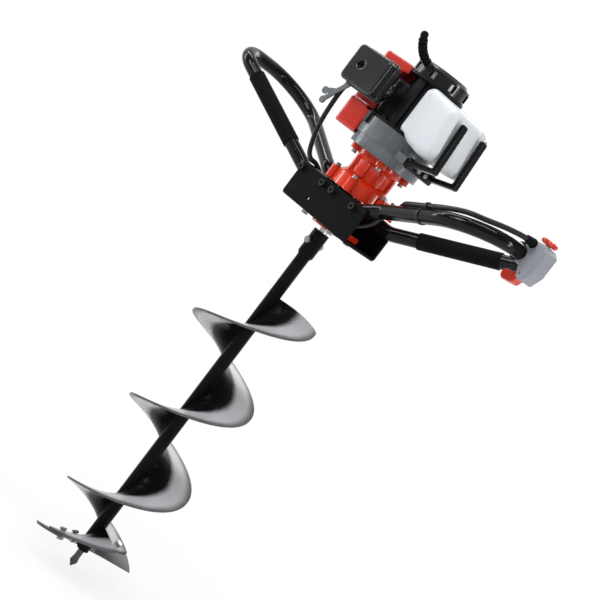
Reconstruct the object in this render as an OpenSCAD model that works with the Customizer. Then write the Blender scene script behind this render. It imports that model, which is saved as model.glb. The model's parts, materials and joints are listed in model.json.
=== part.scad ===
// Petrol earth auger: drill bit, reduction gear, two-stroke engine and two bent tube handles.
// Millimetres. Z runs up the drill axis from the pilot tip, X points to the throttle handle.

/* [Drill bit] */
// Diameter of the screw flight
flight_d = 200; // [150:5:250]
// Rise of the flight in one turn
flight_pitch = 189; // [150:1:230]
// Number of turns of the flight
flight_turns = 2.93; // [2:0.01:3.1]
// Thickness of the flight plate
flight_t = 4; // [3:0.5:6]
// Height of the lower end of the flight above the pilot tip
flight_z = 58; // [54:1:70]
// Direction of the lower end of the flight, in degrees
flight_start = 88; // [0:1:360]
// Diameter of the bit's shaft
bit_shaft_d = 24; // [20:0.5:28]
// Diameter of the sleeve at the top of the bit
sleeve_d = 31; // [28:0.5:36]
// Length of the sleeve
sleeve_len = 48; // [40:1:60]
// Length of the pilot rod below the shaft
pilot_len = 38; // [30:1:45]
// Diameter of the pilot rod
pilot_d = 12; // [10:0.5:14]
// Thickness of the cutter blades
blade_t = 5; // [4:0.5:7]

/* [Handle bracket] */
// Height of the underside of the bracket
bracket_z = 765; // [740:1:800]
// Length of the bracket
bracket_l = 188; // [180:1:196]
// Depth of the bracket, front to back
bracket_w = 94; // [92:1:100]
// Height of the bracket
bracket_h = 68; // [64:1:74]
// Thickness of the folded steel
plate_t = 5; // [4:0.5:6]
// Diameter of the small hole in the front plate
hang_hole_d = 6.5; // [5:0.5:8]

/* [Handles] */
// Outside diameter of the handle tube
tube_d = 25; // [22:0.5:26]
// Wall of the handle tube
tube_wall = 2; // [1.5:0.25:3]
// Reach of each handle from the drill axis
handle_reach = 352; // [320:1:400]
// Half width of each handle at its crosspiece
handle_half_w = 108; // [104:1:120]
// Height of the crosspieces above the bracket's underside
handle_rise = 165; // [150:1:180]
// Wall of the grip sleeves
grip_wall = 2.5; // [2:0.25:4]
// Length of the grip sleeves
grip_len = 150; // [100:1:160]

/* [Gearbox] */
// Diameter of the output shaft
output_d = 20; // [18:0.5:20]
// Distance of the engine's axis from the drill axis
engine_x = 12; // [8:0.5:16]
// Distance between meshing shafts
gear_a = 30; // [28:0.5:31]
// Teeth of each pinion
pinion_teeth = 10; // [9:1:11]
// Teeth of each wheel
wheel_teeth = 50; // [47:1:52]
// Radius of the gear chamber's outside
chamber_r = 56; // [55:1:60]
// Radius of the clutch housing's neck
neck_r = 38; // [36:1:40]
// Radius of the clutch housing's top flange
clutch_flange_r = 54; // [52:1:58]

/* [Engine] */
// Radius of the fan case
fan_r = 71; // [68:1:73]
// Height of the fan case
fan_h = 55; // [52:1:58]
// Radius of the crankcase
crankcase_r = 38; // [36:1:40]
// Height of the crankcase
crankcase_h = 104; // [98:1:110]
// Radius of the starter housing
starter_r = 54; // [50:1:58]
// Height of the starter housing
starter_h = 27; // [25:1:32]
// Half width of the cylinder's fins
fin_half = 36; // [32:1:37]
// Number of cylinder fins
fin_count = 8; // [5:1:9]

/* [Fuel tank] */
// Half width of the tank
tank_half_w = 57; // [54:1:62]
// Radius of the tank's edges
tank_round = 16; // [12:1:18]
// Reach of the tank's outer face at the bottom
tank_reach = 142; // [134:1:150]

/* [Fits] */
// Gap round shafts that turn and parts that slide
run_gap = 0.08; // [0.05:0.01:0.1]
// Gap between pieces that only sit against each other
seat_gap = 0.2; // [0.1:0.05:0.3]
// Gap between pieces that move past each other
pass_gap = 0.5; // [0.3:0.1:1]

/* [Hidden] */
$fn = 64;
BLACK = [0.05, 0.055, 0.06];
ORANGE = [0.84, 0.2, 0.12];
STEEL = [0.62, 0.63, 0.65];
GREY = [0.5, 0.52, 0.55];
RED = [0.8, 0.1, 0.1];
WHITE = [0.93, 0.94, 0.95];

// Drill bit
flight_r = flight_d / 2;
bit_shaft_r = bit_shaft_d / 2;
flight_inner_r = bit_shaft_r + seat_gap;
sleeve_top = bracket_z - 13;
sleeve_bottom = sleeve_top - sleeve_len;
coupling_z = sleeve_top - sleeve_len / 2;
coupling_d = 8;
pilot_spigot_d = 14;
pilot_spigot_len = 20;
stub_angle = 75;
blade_lead = 24;
blade_lap = 20;
blade_top = flight_t / 2 + seat_gap;
blade_edge_t = 1.2;
blade_bolt_d = 7;
blade_bolt_angle = 8;
blade_nut_gap = 1;
screw_step = 5;
blade_bolt_r = [44, 78];

// Bracket and handles
bracket_top = bracket_z + bracket_h;
inner_w = bracket_w / 2 - plate_t;
tube_r = tube_d / 2;
tube_y = inner_w - tube_r - seat_gap;
tube_z = bracket_top - tube_r + 1.5;
crosspiece_z = bracket_z + handle_rise;
bolt_d = 8;
bolt_head_d = 13;
bolt_head_h = 6;
front_bolts_x = [-88, -24, 4, 64];
tube_end_x = 12;
tube_start_x = 6;
bend_lap = 0.5;
bend_swell = 0.1;
eye_swell = 0.4;
hang_hole = [-33, bracket_z + 20];

// Points and bend radii of a handle, from its front leg round to its rear leg, for the left side
handle_points = [[-tube_end_x, -tube_y, tube_z], [-bracket_l / 2 - 6, -tube_y, tube_z],
    [-handle_reach, -handle_half_w, crosspiece_z], [-handle_reach, handle_half_w, crosspiece_z],
    [-bracket_l / 2 - 18, tube_y, tube_z + 26], [-66, tube_y, tube_z], [tube_start_x, tube_y, tube_z]];
handle_radii = [0, 35, 45, 85, 40, 40, 0];

// Gearbox heights
floor_z = bracket_top + 3.5;
floor_t = 5;
counter_boss_h = 9;
gear_face = 7;
output_gear_z = floor_z + counter_boss_h + 1;
wheel1_z = output_gear_z + gear_face + 2;
split_z = wheel1_z - 0.5;
roof_z = wheel1_z + gear_face + 1.5;
neck_z = roof_z + 11;
neck_top_z = neck_z + 21;
flange_top_z = neck_top_z + 16;
counter = [engine_x / 2, sqrt(gear_a * gear_a - engine_x * engine_x / 4)];
chamber_c = [8, 8];
chamber_wall = 5;
case_boss_r = 8.5;
case_boss_ring = chamber_r + 4;
case_boss_top = split_z + 6;
case_boss_angles = [-6, 50, 110, 165, 225, 290];
case_bolt_d = 6;
flange_boss_ring = clutch_flange_r - 4;
hub_r = 29;
hub_top = bracket_z + 43;
case_neck_r = 16;
toe_y = 10;
toe_w = 24;
foot_size = [104, 74];
foot_t = 10;
foot_bolt = [38, 26];
gear_module = gear_a * 2 / (pinion_teeth + wheel_teeth);
pinion_shift = 0.4;
backlash = 0.1;
bearing_od = 42;
bearing_w = 12;
bearing_z = [bracket_z + 7, bracket_z + 27];
small_od = 22;
small_w = 7;
input_bearing_od = 26;
input_bearing_w = 8;
journal_d = 8;
counter_d = 10;
input_d = 10;
drum_r = 29;
drum_z = neck_z + 3;
drum_h = 24;
drum_wall = 2.5;
shoe_gap = 1;

// Engine heights
fan_z = flange_top_z + seat_gap;
fan_top = fan_z + fan_h;
case_top = fan_top + crankcase_h;
starter_z = case_top + seat_gap;
starter_top = starter_z + starter_h;
cyl_z = fan_top + 44;
crank_d = 14;
case_flange_t = 5;
cyl_x0 = engine_x - 50;
cyl_len = 62;
cyl_x1 = cyl_x0 - cyl_len;
fin_t = 2.5;
intake_x = cyl_x0 - 18;

plug_d = 14;
cover_y = 60;
cover_top_y = fin_half + 5;
cover_wall = 3;
cover_z0 = fan_z + 11;
cover_step_z = cyl_z - fin_half;
cover_z1 = fan_top + 109;
cover_front_x = cyl_x1 - 12;
cover_chamfer = 14;
port_window = [52, 44];
carb_y = -fin_half - 14.4;
carb_len = 20;
muffler_neck = 22;
primer_d = 25;
primer_stem_d = 13;
primer_drop = 7;
primer_reach = 11;
clip_size = [6, 12, 22];
clip_angle = 250;
base_y = carb_y - carb_len - seat_gap;
cleaner_size = [85, 68];
cleaner_depth = 26;
cleaner_z = cyl_z + 10;
choke_pivot = [intake_x - 32, base_y + 0.4, cyl_z - 14];
choke_pin_d = 5;
choke_lever_w = 9;
choke_lobe_w = 13;
choke_fork = [-24, -34];
choke_lobe_1 = [-48, -44];
choke_lobe_2 = [-40, -60];
starter_slope = 6;
starter_wall = 4;
starter_roof = 9;
window_w = 12;
cup_r = starter_r - starter_wall - 2.5;
pull_rise = 10;
pull_dir = [0, -cos(pull_rise), sin(pull_rise)];
pull_side = [0, sin(pull_rise), cos(pull_rise)];
grip_bend = 62;
grip_sweep = 50;
grip_d = 13;
grip_ribs = 6;
grip_seat = [engine_x, -starter_r + 6, starter_z + starter_h - 9] + 15 * pull_dir;
rope_d = 4;

// Tank and guard
tank_z = fan_z + 45;
tank_top = fan_top + 98;
tank_lean = 10;
cap_x = tank_reach - 42;
cap_z = tank_top - 32;
guard_y = 33;
guard_gap = 4;
guard_bolt_y = 10;
guard_x = engine_x + fan_r + 8.2;
guard_z = fan_z + 25;
guard_w = 8;
guard_toe = [tank_reach + guard_gap + guard_w / 2, tank_z - 7];
guard_tip = [tank_reach - 0.75 * tank_lean + guard_gap + guard_w / 2, tank_top - 28];

// Throttle
throttle_y = 11;
throttle_len = 34;
clamp_wall = 5;
trigger_pivot = [handle_reach + 24, crosspiece_z - 27];
trigger_pin_d = 4;
trigger_knee = [-12, -12];
trigger_toe = [-24, -14];
trigger_arm_w = 13;
trigger_pad_w = 18;
cable_d = 9;
cable_lift = 19;
tie_place = 0.4;

// Route of the throttle cable: from the carburettor into the bracket, out again and along the front leg of the
// right handle, where it runs beside the tube
leg_low = [-handle_points[4][0], -handle_points[4][1], handle_points[4][2]];
leg_high = [-handle_points[3][0], -handle_points[3][1], handle_points[3][2]];
leg_tilt = tilt(leg_high - leg_low);
leg_side = [-cos(leg_tilt[1]) * cos(leg_tilt[2]), -cos(leg_tilt[1]) * sin(leg_tilt[2]), sin(leg_tilt[1])];
function beside_leg(share) = leg_low + share * (leg_high - leg_low) + cable_lift * leg_side;
cable_in_y = -tube_y + tube_r + cable_d / 2 + 0.3;
cable_bay_y = -inner_w + cable_d / 2 + 1.5;
cable_bay_z = bracket_z + plate_t + foot_t + cable_d / 2 + 9.5;
cable_points = [
    [intake_x - 21, carb_y - 9.6, cyl_z - 8.2],
    [intake_x - 42, carb_y - 9.6, cyl_z - 15.2],
    [intake_x - 56, carb_y - 9.6, cyl_z - 39.2],
    [-bracket_l / 2 - 16, -bracket_w / 2 - 10, neck_top_z + 9],
    [-bracket_l / 2 - 6, -bracket_w / 2 - 3, bracket_top + 27],
    [-bracket_l / 2 + 2, -tube_y - 12.7, bracket_top + 10],
    [-bracket_l / 2 + 9, -tube_y + 1.3, tube_z + tube_r + 5.5],
    [-bracket_l / 2 + 15, cable_in_y, tube_z + 8],
    [-bracket_l / 2 + 22, cable_in_y + 1, tube_z - 10],
    [-bracket_l / 2 + 32, cable_in_y - 9.7, cable_bay_z + 3],
    [-46, cable_bay_y, cable_bay_z],
    [0, cable_bay_y, cable_bay_z],
    [46, cable_bay_y, cable_bay_z],
    [bracket_l / 2 - 26, cable_in_y - 9.7, cable_bay_z + 3],
    [bracket_l / 2 - 10, cable_in_y + 3, tube_z - 7],
    [bracket_l / 2 + 4, cable_in_y + 3, tube_z + 16],
    leg_low + [4, 16.3, 10],
    leg_low + [24, 1.3, 29],
    beside_leg(0.2),
    beside_leg(tie_place),
    beside_leg(0.58),
    [handle_reach - 64, -handle_half_w + 33, crosspiece_z - 1],
    [handle_reach - 33, -handle_half_w + 47, crosspiece_z + 8],
    [handle_reach - 14, throttle_y - 49, crosspiece_z + 16],
    [handle_reach + 2, throttle_y - 31, crosspiece_z + 21],
    [handle_reach + 11, throttle_y - 15, crosspiece_z + 23],
    [handle_reach + 12, throttle_y - 0.5, crosspiece_z + 23]];

// Vector helpers
function unit(v) = v / norm(v);
function tilt(d) = [0, acos(d[2] / norm(d)), atan2(d[1], d[0])];

// Straight length of tube between two points
module pipe(p, q, d, bore) {
    translate(p) rotate(tilt(q - p)) difference() {
        cylinder(d = d, h = norm(q - p));
        translate([0, 0, -1]) cylinder(d = bore, h = norm(q - p) + 2);
    }
}

// Where a bend of radius r starts, measured back from its corner
function setback(a, b, c, r) = r * tan(acos(unit(b - a) * unit(c - b)) / 2);

// Bend of a tube at corner b, on the way from a to c
module bend(a, b, c, r, d, bore) {
    u = unit(b - a);
    v = unit(c - b);
    turn = acos(u * v);
    axis = unit(cross(u, v));
    start = b - setback(a, b, c, r) * u;
    centre = start + r * cross(axis, u);
    lean = tilt(axis);
    out = (start - centre) / r;
    flat = [out[0] * cos(lean[2]) + out[1] * sin(lean[2]), out[1] * cos(lean[2]) - out[0] * sin(lean[2])];
    side = [flat[0] * cos(lean[1]) - out[2] * sin(lean[1]), flat[1]];
    translate(centre) rotate(lean) rotate([0, 0, atan2(side[1], side[0])])
        rotate_extrude(angle = turn) translate([r, 0]) difference() {
            circle(d = d);
            circle(d = bore);
        }
}

// Tube that runs through a list of points, with a bend radius at each inner point.
// The bends lap a little over the straights and are a hair thicker, so that the pieces join.
module bent_tube(p, r, d, bore) {
    n = len(p) - 1;
    back = [for (i = [0:n]) i == 0 || i == n ? 0 : setback(p[i - 1], p[i], p[i + 1], r[i]) - bend_lap];
    for (i = [0:n - 1]) {
        u = unit(p[i + 1] - p[i]);
        pipe(p[i] + back[i] * u, p[i + 1] - back[i + 1] * u, d, bore);
    }
    for (i = [1:n - 1]) bend(p[i - 1], p[i], p[i + 1], r[i], d + bend_swell, bore - bend_swell);
}

// Flat strip between two points of a drawing
module strip(p, q, w) {
    translate(p) rotate(atan2(q[1] - p[1], q[0] - p[0])) translate([0, -w / 2]) square([norm(q - p), w]);
}

// Round eye at the end of a strip, a hair wider than the strip, so that the two join
module eye(p, w) {
    translate(p) circle(d = w + eye_swell);
}

// Rectangle with round corners, centred
module round_rect(size, r) {
    square([size[0] - 2 * r, size[1]], center = true);
    square([size[0], size[1] - 2 * r], center = true);
    for (x = [-1, 1], y = [-1, 1])
        translate([x * (size[0] / 2 - r), y * (size[1] / 2 - r)]) circle(r = r);
}

// Part of a screw surface, as a plate that thins from t1 to t0 towards its lower end
module screw_plate(from, to, inner, outer, z, t0, t1) {
    n = max(4, ceil((to - from) / screw_step));
    ring = [for (i = [0:n]) let (
            a = from + (to - from) * i / n,
            t = i == 0 ? t0 : t1,
            h = z + flight_pitch * a / 360
        ) for (k = [[inner, h - t], [outer, h - t], [outer, h], [inner, h]])
            [k[0] * cos(a + flight_start), k[0] * sin(a + flight_start), k[1]]];
    sides = [for (i = [0:n - 1], k = [0:3]) let (
            a = 4 * i + k,
            b = 4 * i + (k + 1) % 4
        ) for (f = k == 2 ? [[a, a + 4, b + 4], [a, b + 4, b]] : [[a, a + 4, b], [b, a + 4, b + 4]]) f];
    last = 4 * n;
    ends = [[0, 1, 2], [0, 2, 3], [last, last + 2, last + 1], [last, last + 3, last + 2]];
    polyhedron(points = ring, faces = concat(sides, ends));
}

// Holes or bolts through a blade and its flight, square to the screw surface
module at_blade_bolts() {
    for (turn = [0, 180], r = blade_bolt_r)
        rotate([0, 0, flight_start + turn + blade_bolt_angle])
            translate([r, 0, flight_z + flight_pitch * blade_bolt_angle / 360])
                rotate([atan(flight_pitch / (2 * PI * r)), 0, 0]) children();
}

// Outline of an involute gear with profile shift x
module gear_outline(teeth, x, backlash) {
    pitch_r = gear_module * teeth / 2;
    base_r = pitch_r * cos(20);
    tip_r = pitch_r + gear_module * (0.9 + x);
    root_r = pitch_r - gear_module * (1.25 - x);
    inv20 = tan(20) - 20 * PI / 180;
    half = (PI / 2 + 2 * x * tan(20)) / teeth - backlash / (2 * pitch_r) + inv20;
    low_r = max(base_r, root_r);
    function spread(r) = let (c = acos(base_r / r)) half * 180 / PI - tan(c) * 180 / PI + c;
    flank = [for (i = [0:5]) let (r = low_r + (tip_r - low_r) * i / 5) [r, spread(r)]];
    foot = spread(low_r);
    polygon([for (k = [0:teeth - 1]) let (m = 360 * k / teeth) each concat(
        [root_r * [cos(m - foot), sin(m - foot)]],
        [for (f = flank) f[0] * [cos(m - f[1]), sin(m - f[1])]],
        [for (i = [5:-1:0]) flank[i][0] * [cos(m + flank[i][1]), sin(m + flank[i][1])]],
        [root_r * [cos(m + foot), sin(m + foot)]])]);
}

// Direction of the mesh between the output wheel and the counter pinion, and of the first stage
mesh2 = atan2(counter[1], counter[0]);
mesh1 = atan2(-counter[1], engine_x - counter[0]);
half_tooth = 180 / pinion_teeth;

// Screw-in pilot point with a flat spear tip
module pilot_point() color(STEEL) {
    spear_w = pilot_d + 3;
    translate([0, 0, 14]) cylinder(d = pilot_d, h = pilot_len - 14);
    translate([0, 0, pilot_len - 0.01]) cylinder(d = pilot_spigot_d, h = pilot_spigot_len);
    translate([0, 0, 14.01]) mirror([0, 0, 1]) cylinder(d1 = pilot_d, d2 = pilot_d / 2, h = 4);
    rotate([0, 0, flight_start - 40]) rotate([90, 0, 0]) linear_extrude(4, center = true)
        polygon([[0, 0], [spear_w / 2, 11], [pilot_d / 2, 20], [-pilot_d / 2, 20], [-spear_w / 2, 11]]);
}

// Shaft of the bit, with the sleeve that takes the output shaft
module auger_shaft() color(BLACK) difference() {
    union() {
        translate([0, 0, pilot_len]) cylinder(d = bit_shaft_d, h = sleeve_bottom - pilot_len + 2);
        translate([0, 0, sleeve_bottom]) cylinder(d = sleeve_d, h = sleeve_len);
        translate([0, 0, sleeve_bottom - 6]) cylinder(d1 = bit_shaft_d, d2 = sleeve_d, h = 6);
    }
    translate([0, 0, pilot_len - 1]) cylinder(d = pilot_spigot_d + 2 * run_gap, h = pilot_spigot_len + 1.2);
    translate([0, 0, sleeve_bottom + 3]) cylinder(d = output_d + 2 * run_gap, h = sleeve_len);
    translate([0, 0, coupling_z]) rotate([90, 0, 0])
        cylinder(d = coupling_d + 2 * seat_gap, h = sleeve_d * 2, center = true);
}

// Main screw, welded round the shaft
module auger_flight() color(BLACK) difference() {
    screw_plate(0, 360 * flight_turns, flight_inner_r, flight_r, flight_z + flight_t / 2, flight_t, flight_t);
    at_blade_bolts() cylinder(d = blade_bolt_d + 2 * seat_gap, h = 60, center = true, $fn = 32);
}

// Short second flight on the other side, which carries the second blade
module stub_flight() color(BLACK) difference() {
    rotate([0, 0, 180])
        screw_plate(0, stub_angle, flight_inner_r, flight_r, flight_z + flight_t / 2, flight_t, flight_t);
    at_blade_bolts() cylinder(d = blade_bolt_d + 2 * seat_gap, h = 60, center = true, $fn = 32);
}

// Two bevelled cutter blades under the lower ends of the flights
module cutter_blades() color(STEEL) difference() {
    for (turn = [0, 180]) rotate([0, 0, turn])
        screw_plate(-blade_lead, blade_lap, flight_inner_r, flight_r + 2, flight_z - blade_top, blade_edge_t, blade_t);
    at_blade_bolts() cylinder(d = blade_bolt_d + 2 * seat_gap, h = 60, center = true, $fn = 32);
}

// Bolts and nuts that hold the blades
module blade_bolts() color(STEEL) {
    low = flight_t / 2 + seat_gap + blade_t + blade_nut_gap;
    high = flight_t / 2 + blade_nut_gap;
    at_blade_bolts() {
        translate([0, 0, -low - 1]) cylinder(d = blade_bolt_d, h = low + high + 2);
        translate([0, 0, high]) cylinder(d = blade_bolt_d * 1.85, h = 5, $fn = 6);
        translate([0, 0, -low - 6]) cylinder(d = blade_bolt_d * 1.85, h = 6, $fn = 6);
    }
}

// Bolt and nut that couple the bit to the output shaft
module coupling_bolt() color(STEEL) translate([0, 0, coupling_z]) rotate([90, 0, 0]) {
    cylinder(d = coupling_d, h = sleeve_d + 12, center = true);
    for (side = [0, 1]) mirror([0, 0, side])
        translate([0, 0, sleeve_d / 2 + seat_gap]) cylinder(d = coupling_d * 1.75, h = 5.5, $fn = 6);
}

// Output shaft of the gearbox
module output_shaft() color(STEEL) difference() {
    translate([0, 0, sleeve_bottom + 3.2])
        cylinder(d = output_d, h = output_gear_z + gear_face + 0.5 - sleeve_bottom - 3.2);
    translate([0, 0, coupling_z]) rotate([90, 0, 0])
        cylinder(d = coupling_d + 2 * seat_gap, h = output_d * 2, center = true);
}

// Toothed wheel with a thin web
module wheel(bore, turn) difference() {
    rotate([0, 0, turn]) linear_extrude(gear_face) gear_outline(wheel_teeth, -pinion_shift, backlash);
    translate([0, 0, -1]) cylinder(d = bore, h = gear_face + 2);
    for (z = [-1, gear_face - 1.5]) translate([0, 0, z]) difference() {
        cylinder(r = gear_a * 0.62, h = 2.5);
        translate([0, 0, -1]) cylinder(d = bore + 8, h = 5);
    }
}

// Second-stage wheel on the output shaft
module output_gear() color(STEEL) translate([0, 0, output_gear_z]) wheel(output_d + 2 * run_gap, mesh2);

// Counter shaft with its cut pinion
module counter_shaft() color(STEEL) translate([counter[0], counter[1], 0]) {
    foot = floor_z + 2.2;
    translate([0, 0, foot]) cylinder(d = journal_d, h = roof_z + small_w - foot);
    translate([0, 0, output_gear_z - 0.5]) rotate([0, 0, mesh2 + 180 + half_tooth])
        linear_extrude(gear_face + 1) gear_outline(pinion_teeth, pinion_shift, backlash);
    translate([0, 0, output_gear_z + gear_face + 0.4]) cylinder(d = counter_d, h = gear_face + 2.2);
}

// First-stage wheel on the counter shaft
module counter_gear() color(STEEL) translate([counter[0], counter[1], wheel1_z])
    wheel(counter_d + 2 * run_gap, mesh1);

// Input shaft with its cut pinion
module input_pinion() color(STEEL) translate([engine_x, 0, 0]) {
    translate([0, 0, wheel1_z]) rotate([0, 0, mesh1 + 180 + half_tooth])
        linear_extrude(gear_face + 0.6) gear_outline(pinion_teeth, pinion_shift, backlash);
    translate([0, 0, wheel1_z + gear_face + 0.5]) cylinder(d = input_d, h = drum_z + 2.5 - wheel1_z - gear_face);
}

// Clutch drum on the input shaft
module clutch_drum() color(STEEL) translate([engine_x, 0, drum_z]) difference() {
    cylinder(r = drum_r, h = drum_h);
    translate([0, 0, 3]) cylinder(r = drum_r - drum_wall, h = drum_h);
    translate([0, 0, -1]) cylinder(d = input_d + 2 * run_gap, h = 6);
}

// Two centrifugal clutch shoes on the crankshaft
module clutch_shoes() color(STEEL) translate([engine_x, 0, drum_z + 5]) difference() {
    cylinder(r = drum_r - drum_wall - shoe_gap, h = drum_h - 7);
    translate([0, 0, -1]) cylinder(d = crank_d + 2 * run_gap, h = drum_h);
    translate([-2, -drum_r, -1]) cube([4, 2 * drum_r, drum_h]);
}

// Crankshaft, from the clutch to the starter
module crankshaft() color(STEEL) translate([engine_x, 0, drum_z + 4.5])
    cylinder(d = crank_d, h = starter_z + 8 - drum_z - 4.5);

// Flywheel with fan blades
module flywheel() color(GREY) translate([engine_x, 0, fan_z + 10]) difference() {
    union() {
        cylinder(r = fan_r - 22, h = 8);
        cylinder(d = crank_d + 16, h = 26);
        for (a = [0:30:330]) rotate([0, 0, a + 8]) translate([crank_d, -1.5, 0]) cube([fan_r - 38, 3, 26]);
    }
    translate([0, 0, -1]) cylinder(d = crank_d + 2 * run_gap, h = 40);
}

// Holes for the handle bolts, on the front plate; the rear plate is the same turned half round
module at_handle_bolts() {
    for (turn = [0, 180], x = front_bolts_x) rotate([0, 0, turn])
        translate([x, -bracket_w / 2, tube_z]) rotate([90, 0, 0]) children();
}

// Folded steel channel that carries the gear case and the handles
module handle_bracket() color(BLACK) difference() {
    r = plate_t + 2;
    translate([-bracket_l / 2, 0, bracket_z]) rotate([90, 0, 90]) linear_extrude(bracket_l) difference() {
        union() {
            translate([-bracket_w / 2 + r, 0]) square([bracket_w - 2 * r, bracket_h]);
            translate([-bracket_w / 2, r]) square([bracket_w, bracket_h - r]);
            for (s = [-1, 1]) translate([s * (bracket_w / 2 - r), r]) circle(r = r);
        }
        translate([-inner_w, plate_t + 2]) square([2 * inner_w, bracket_h]);
        translate([-inner_w + 2, plate_t]) square([2 * inner_w - 4, bracket_h]);
        for (s = [-1, 1]) translate([s * (inner_w - 2), plate_t + 2]) circle(r = 2, $fn = 32);
    }
    translate([0, 0, bracket_z - 1]) cylinder(r = hub_r + seat_gap, h = plate_t + 2);
    for (x = [-1, 1], y = [-1, 1]) translate([x * foot_bolt[0], y * foot_bolt[1], bracket_z - 1])
        cylinder(d = bolt_d + 2 * seat_gap, h = plate_t + 2);
    at_handle_bolts() cylinder(d = bolt_d + 2 * seat_gap, h = 4 * plate_t, center = true);
    translate([hang_hole[0], -bracket_w / 2, hang_hole[1]]) rotate([90, 0, 0])
        cylinder(d = hang_hole_d, h = 4 * plate_t, center = true);
}

// Bolts from below that hold the gear case in the bracket
module bracket_bolts() color(STEEL) for (x = [-1, 1], y = [-1, 1])
    translate([x * foot_bolt[0], y * foot_bolt[1], bracket_z]) {
        translate([0, 0, -bolt_head_h]) cylinder(d = bolt_head_d, h = bolt_head_h - seat_gap, $fn = 6);
        translate([0, 0, -bolt_head_h + 1]) cylinder(d = bolt_d, h = bolt_head_h + plate_t + foot_t - 3);
    }

// Socket-head bolts of the handles
module handle_bolts() color(STEEL) at_handle_bolts() difference() {
    union() {
        translate([0, 0, seat_gap]) cylinder(d = bolt_head_d, h = bolt_head_h);
        translate([0, 0, -plate_t - tube_wall - 9]) cylinder(d = bolt_d, h = plate_t + tube_wall + 10);
    }
    translate([0, 0, bolt_head_h - 3]) cylinder(d = 6.5, h = 6, $fn = 6);
}

// Places of the bolts round the gear chamber
module at_case_bolts() {
    for (a = case_boss_angles)
        translate([chamber_c[0] + case_boss_ring * cos(a), chamber_c[1] + case_boss_ring * sin(a), 0]) children();
}

// Places of the bolts between the clutch housing and the fan case
module at_flange_bolts() {
    for (a = [45:90:315])
        translate([engine_x + flange_boss_ring * cos(a), flange_boss_ring * sin(a), 0]) children();
}

// Lower half of the gearbox, with the output hub that passes through the bracket
module gear_case() color(ORANGE) difference() {
    union() {
        translate([0, 0, bracket_z - 4]) cylinder(r = hub_r, h = hub_top - bracket_z + 4);
        translate([0, 0, bracket_z + plate_t + seat_gap]) linear_extrude(foot_t) round_rect(foot_size, 8);
        translate([0, 0, hub_top - 1]) cylinder(r = case_neck_r, h = floor_z - hub_top + 2);
        translate([chamber_c[0], chamber_c[1], floor_z]) cylinder(r = chamber_r, h = split_z - floor_z);
        at_case_bolts() translate([0, 0, floor_z]) cylinder(r = case_boss_r, h = split_z - floor_z);
        translate([0, toe_y + toe_w / 2, 0]) rotate([90, 0, 0]) linear_extrude(toe_w)
            polygon([[chamber_c[0] + 30, floor_z + 1], [chamber_c[0] + 30, split_z - 1],
                [chamber_c[0] + case_boss_ring + 4, split_z - 1], [bracket_l / 2, floor_z + 5],
                [bracket_l / 2, floor_z + 1]]);
    }
    translate([0, 0, bracket_z - 5]) cylinder(d = bearing_od, h = bearing_z[1] + bearing_w - bracket_z + 5);
    translate([0, 0, bracket_z]) cylinder(d = output_d + 2, h = floor_z + floor_t - bracket_z + 1);
    difference() {
        translate([chamber_c[0], chamber_c[1], floor_z + floor_t])
            cylinder(r = chamber_r - chamber_wall, h = split_z - floor_z);
        translate([counter[0], counter[1], floor_z]) cylinder(d = small_od + 6, h = counter_boss_h);
    }
    translate([counter[0], counter[1], floor_z + 2]) cylinder(d = small_od, h = counter_boss_h);
    at_case_bolts() translate([0, 0, floor_z + 4]) cylinder(d = case_bolt_d + 2 * seat_gap, h = 60);
    for (x = [-1, 1], y = [-1, 1]) translate([x * foot_bolt[0], y * foot_bolt[1], bracket_z])
        cylinder(d = bolt_d + 2 * run_gap, h = plate_t + foot_t - 1);
}

// Upper half of the gearbox: bell over the gears, ribbed neck and clutch housing flange
module gear_cover() color(ORANGE) difference() {
    union() {
        translate([chamber_c[0], chamber_c[1], split_z]) cylinder(r = chamber_r, h = roof_z - split_z - 2);
        translate([chamber_c[0], chamber_c[1], roof_z - 2.01])
            cylinder(r1 = chamber_r, r2 = chamber_r - 14, h = 12);
        at_case_bolts() translate([0, 0, split_z]) cylinder(r = case_boss_r, h = case_boss_top - split_z);
        translate([engine_x, 0, roof_z]) cylinder(r = neck_r, h = flange_top_z - roof_z);
        for (a = [0:45:315]) translate([engine_x, 0, roof_z + 6]) rotate([0, 0, a + 20])
            translate([neck_r - 3, -4, 0]) cube([8, 8, neck_top_z - roof_z - 4]);
        translate([engine_x, 0, neck_top_z]) cylinder(r1 = neck_r, r2 = clutch_flange_r - 8, h = 8);
        translate([engine_x, 0, neck_top_z + 7.9]) cylinder(r = clutch_flange_r - 8, h = 8.1);
        at_flange_bolts() translate([0, 0, neck_top_z + 6]) cylinder(r = 10, h = 10);
    }
    translate([chamber_c[0], chamber_c[1], split_z - 1]) cylinder(r = chamber_r - chamber_wall, h = roof_z - split_z + 1);
    translate([counter[0], counter[1], roof_z - 1]) cylinder(d = small_od, h = small_w + 1.4);
    translate([engine_x, 0, roof_z - 1]) cylinder(d = input_bearing_od, h = input_bearing_w + 1.2);
    translate([engine_x, 0, roof_z - 1]) cylinder(d = input_d + 3, h = 30);
    translate([engine_x, 0, neck_z]) cylinder(r = drum_r + 2, h = 60);
    at_case_bolts() {
        translate([0, 0, split_z - 1]) cylinder(d = case_bolt_d + 2 * seat_gap, h = 60);
        translate([0, 0, case_boss_top]) cylinder(d = case_bolt_d * 1.6 + 1, h = 30);
    }
    at_flange_bolts() translate([0, 0, neck_top_z]) cylinder(d = case_bolt_d + 2 * seat_gap, h = 60);
}

// Cap screw with a round head, standing on the origin and pointing down
module cap_screw(d, length) {
    translate([0, 0, seat_gap]) cylinder(d = d * 1.6, h = d);
    translate([0, 0, -length]) cylinder(d = d, h = length + 1);
}

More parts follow.
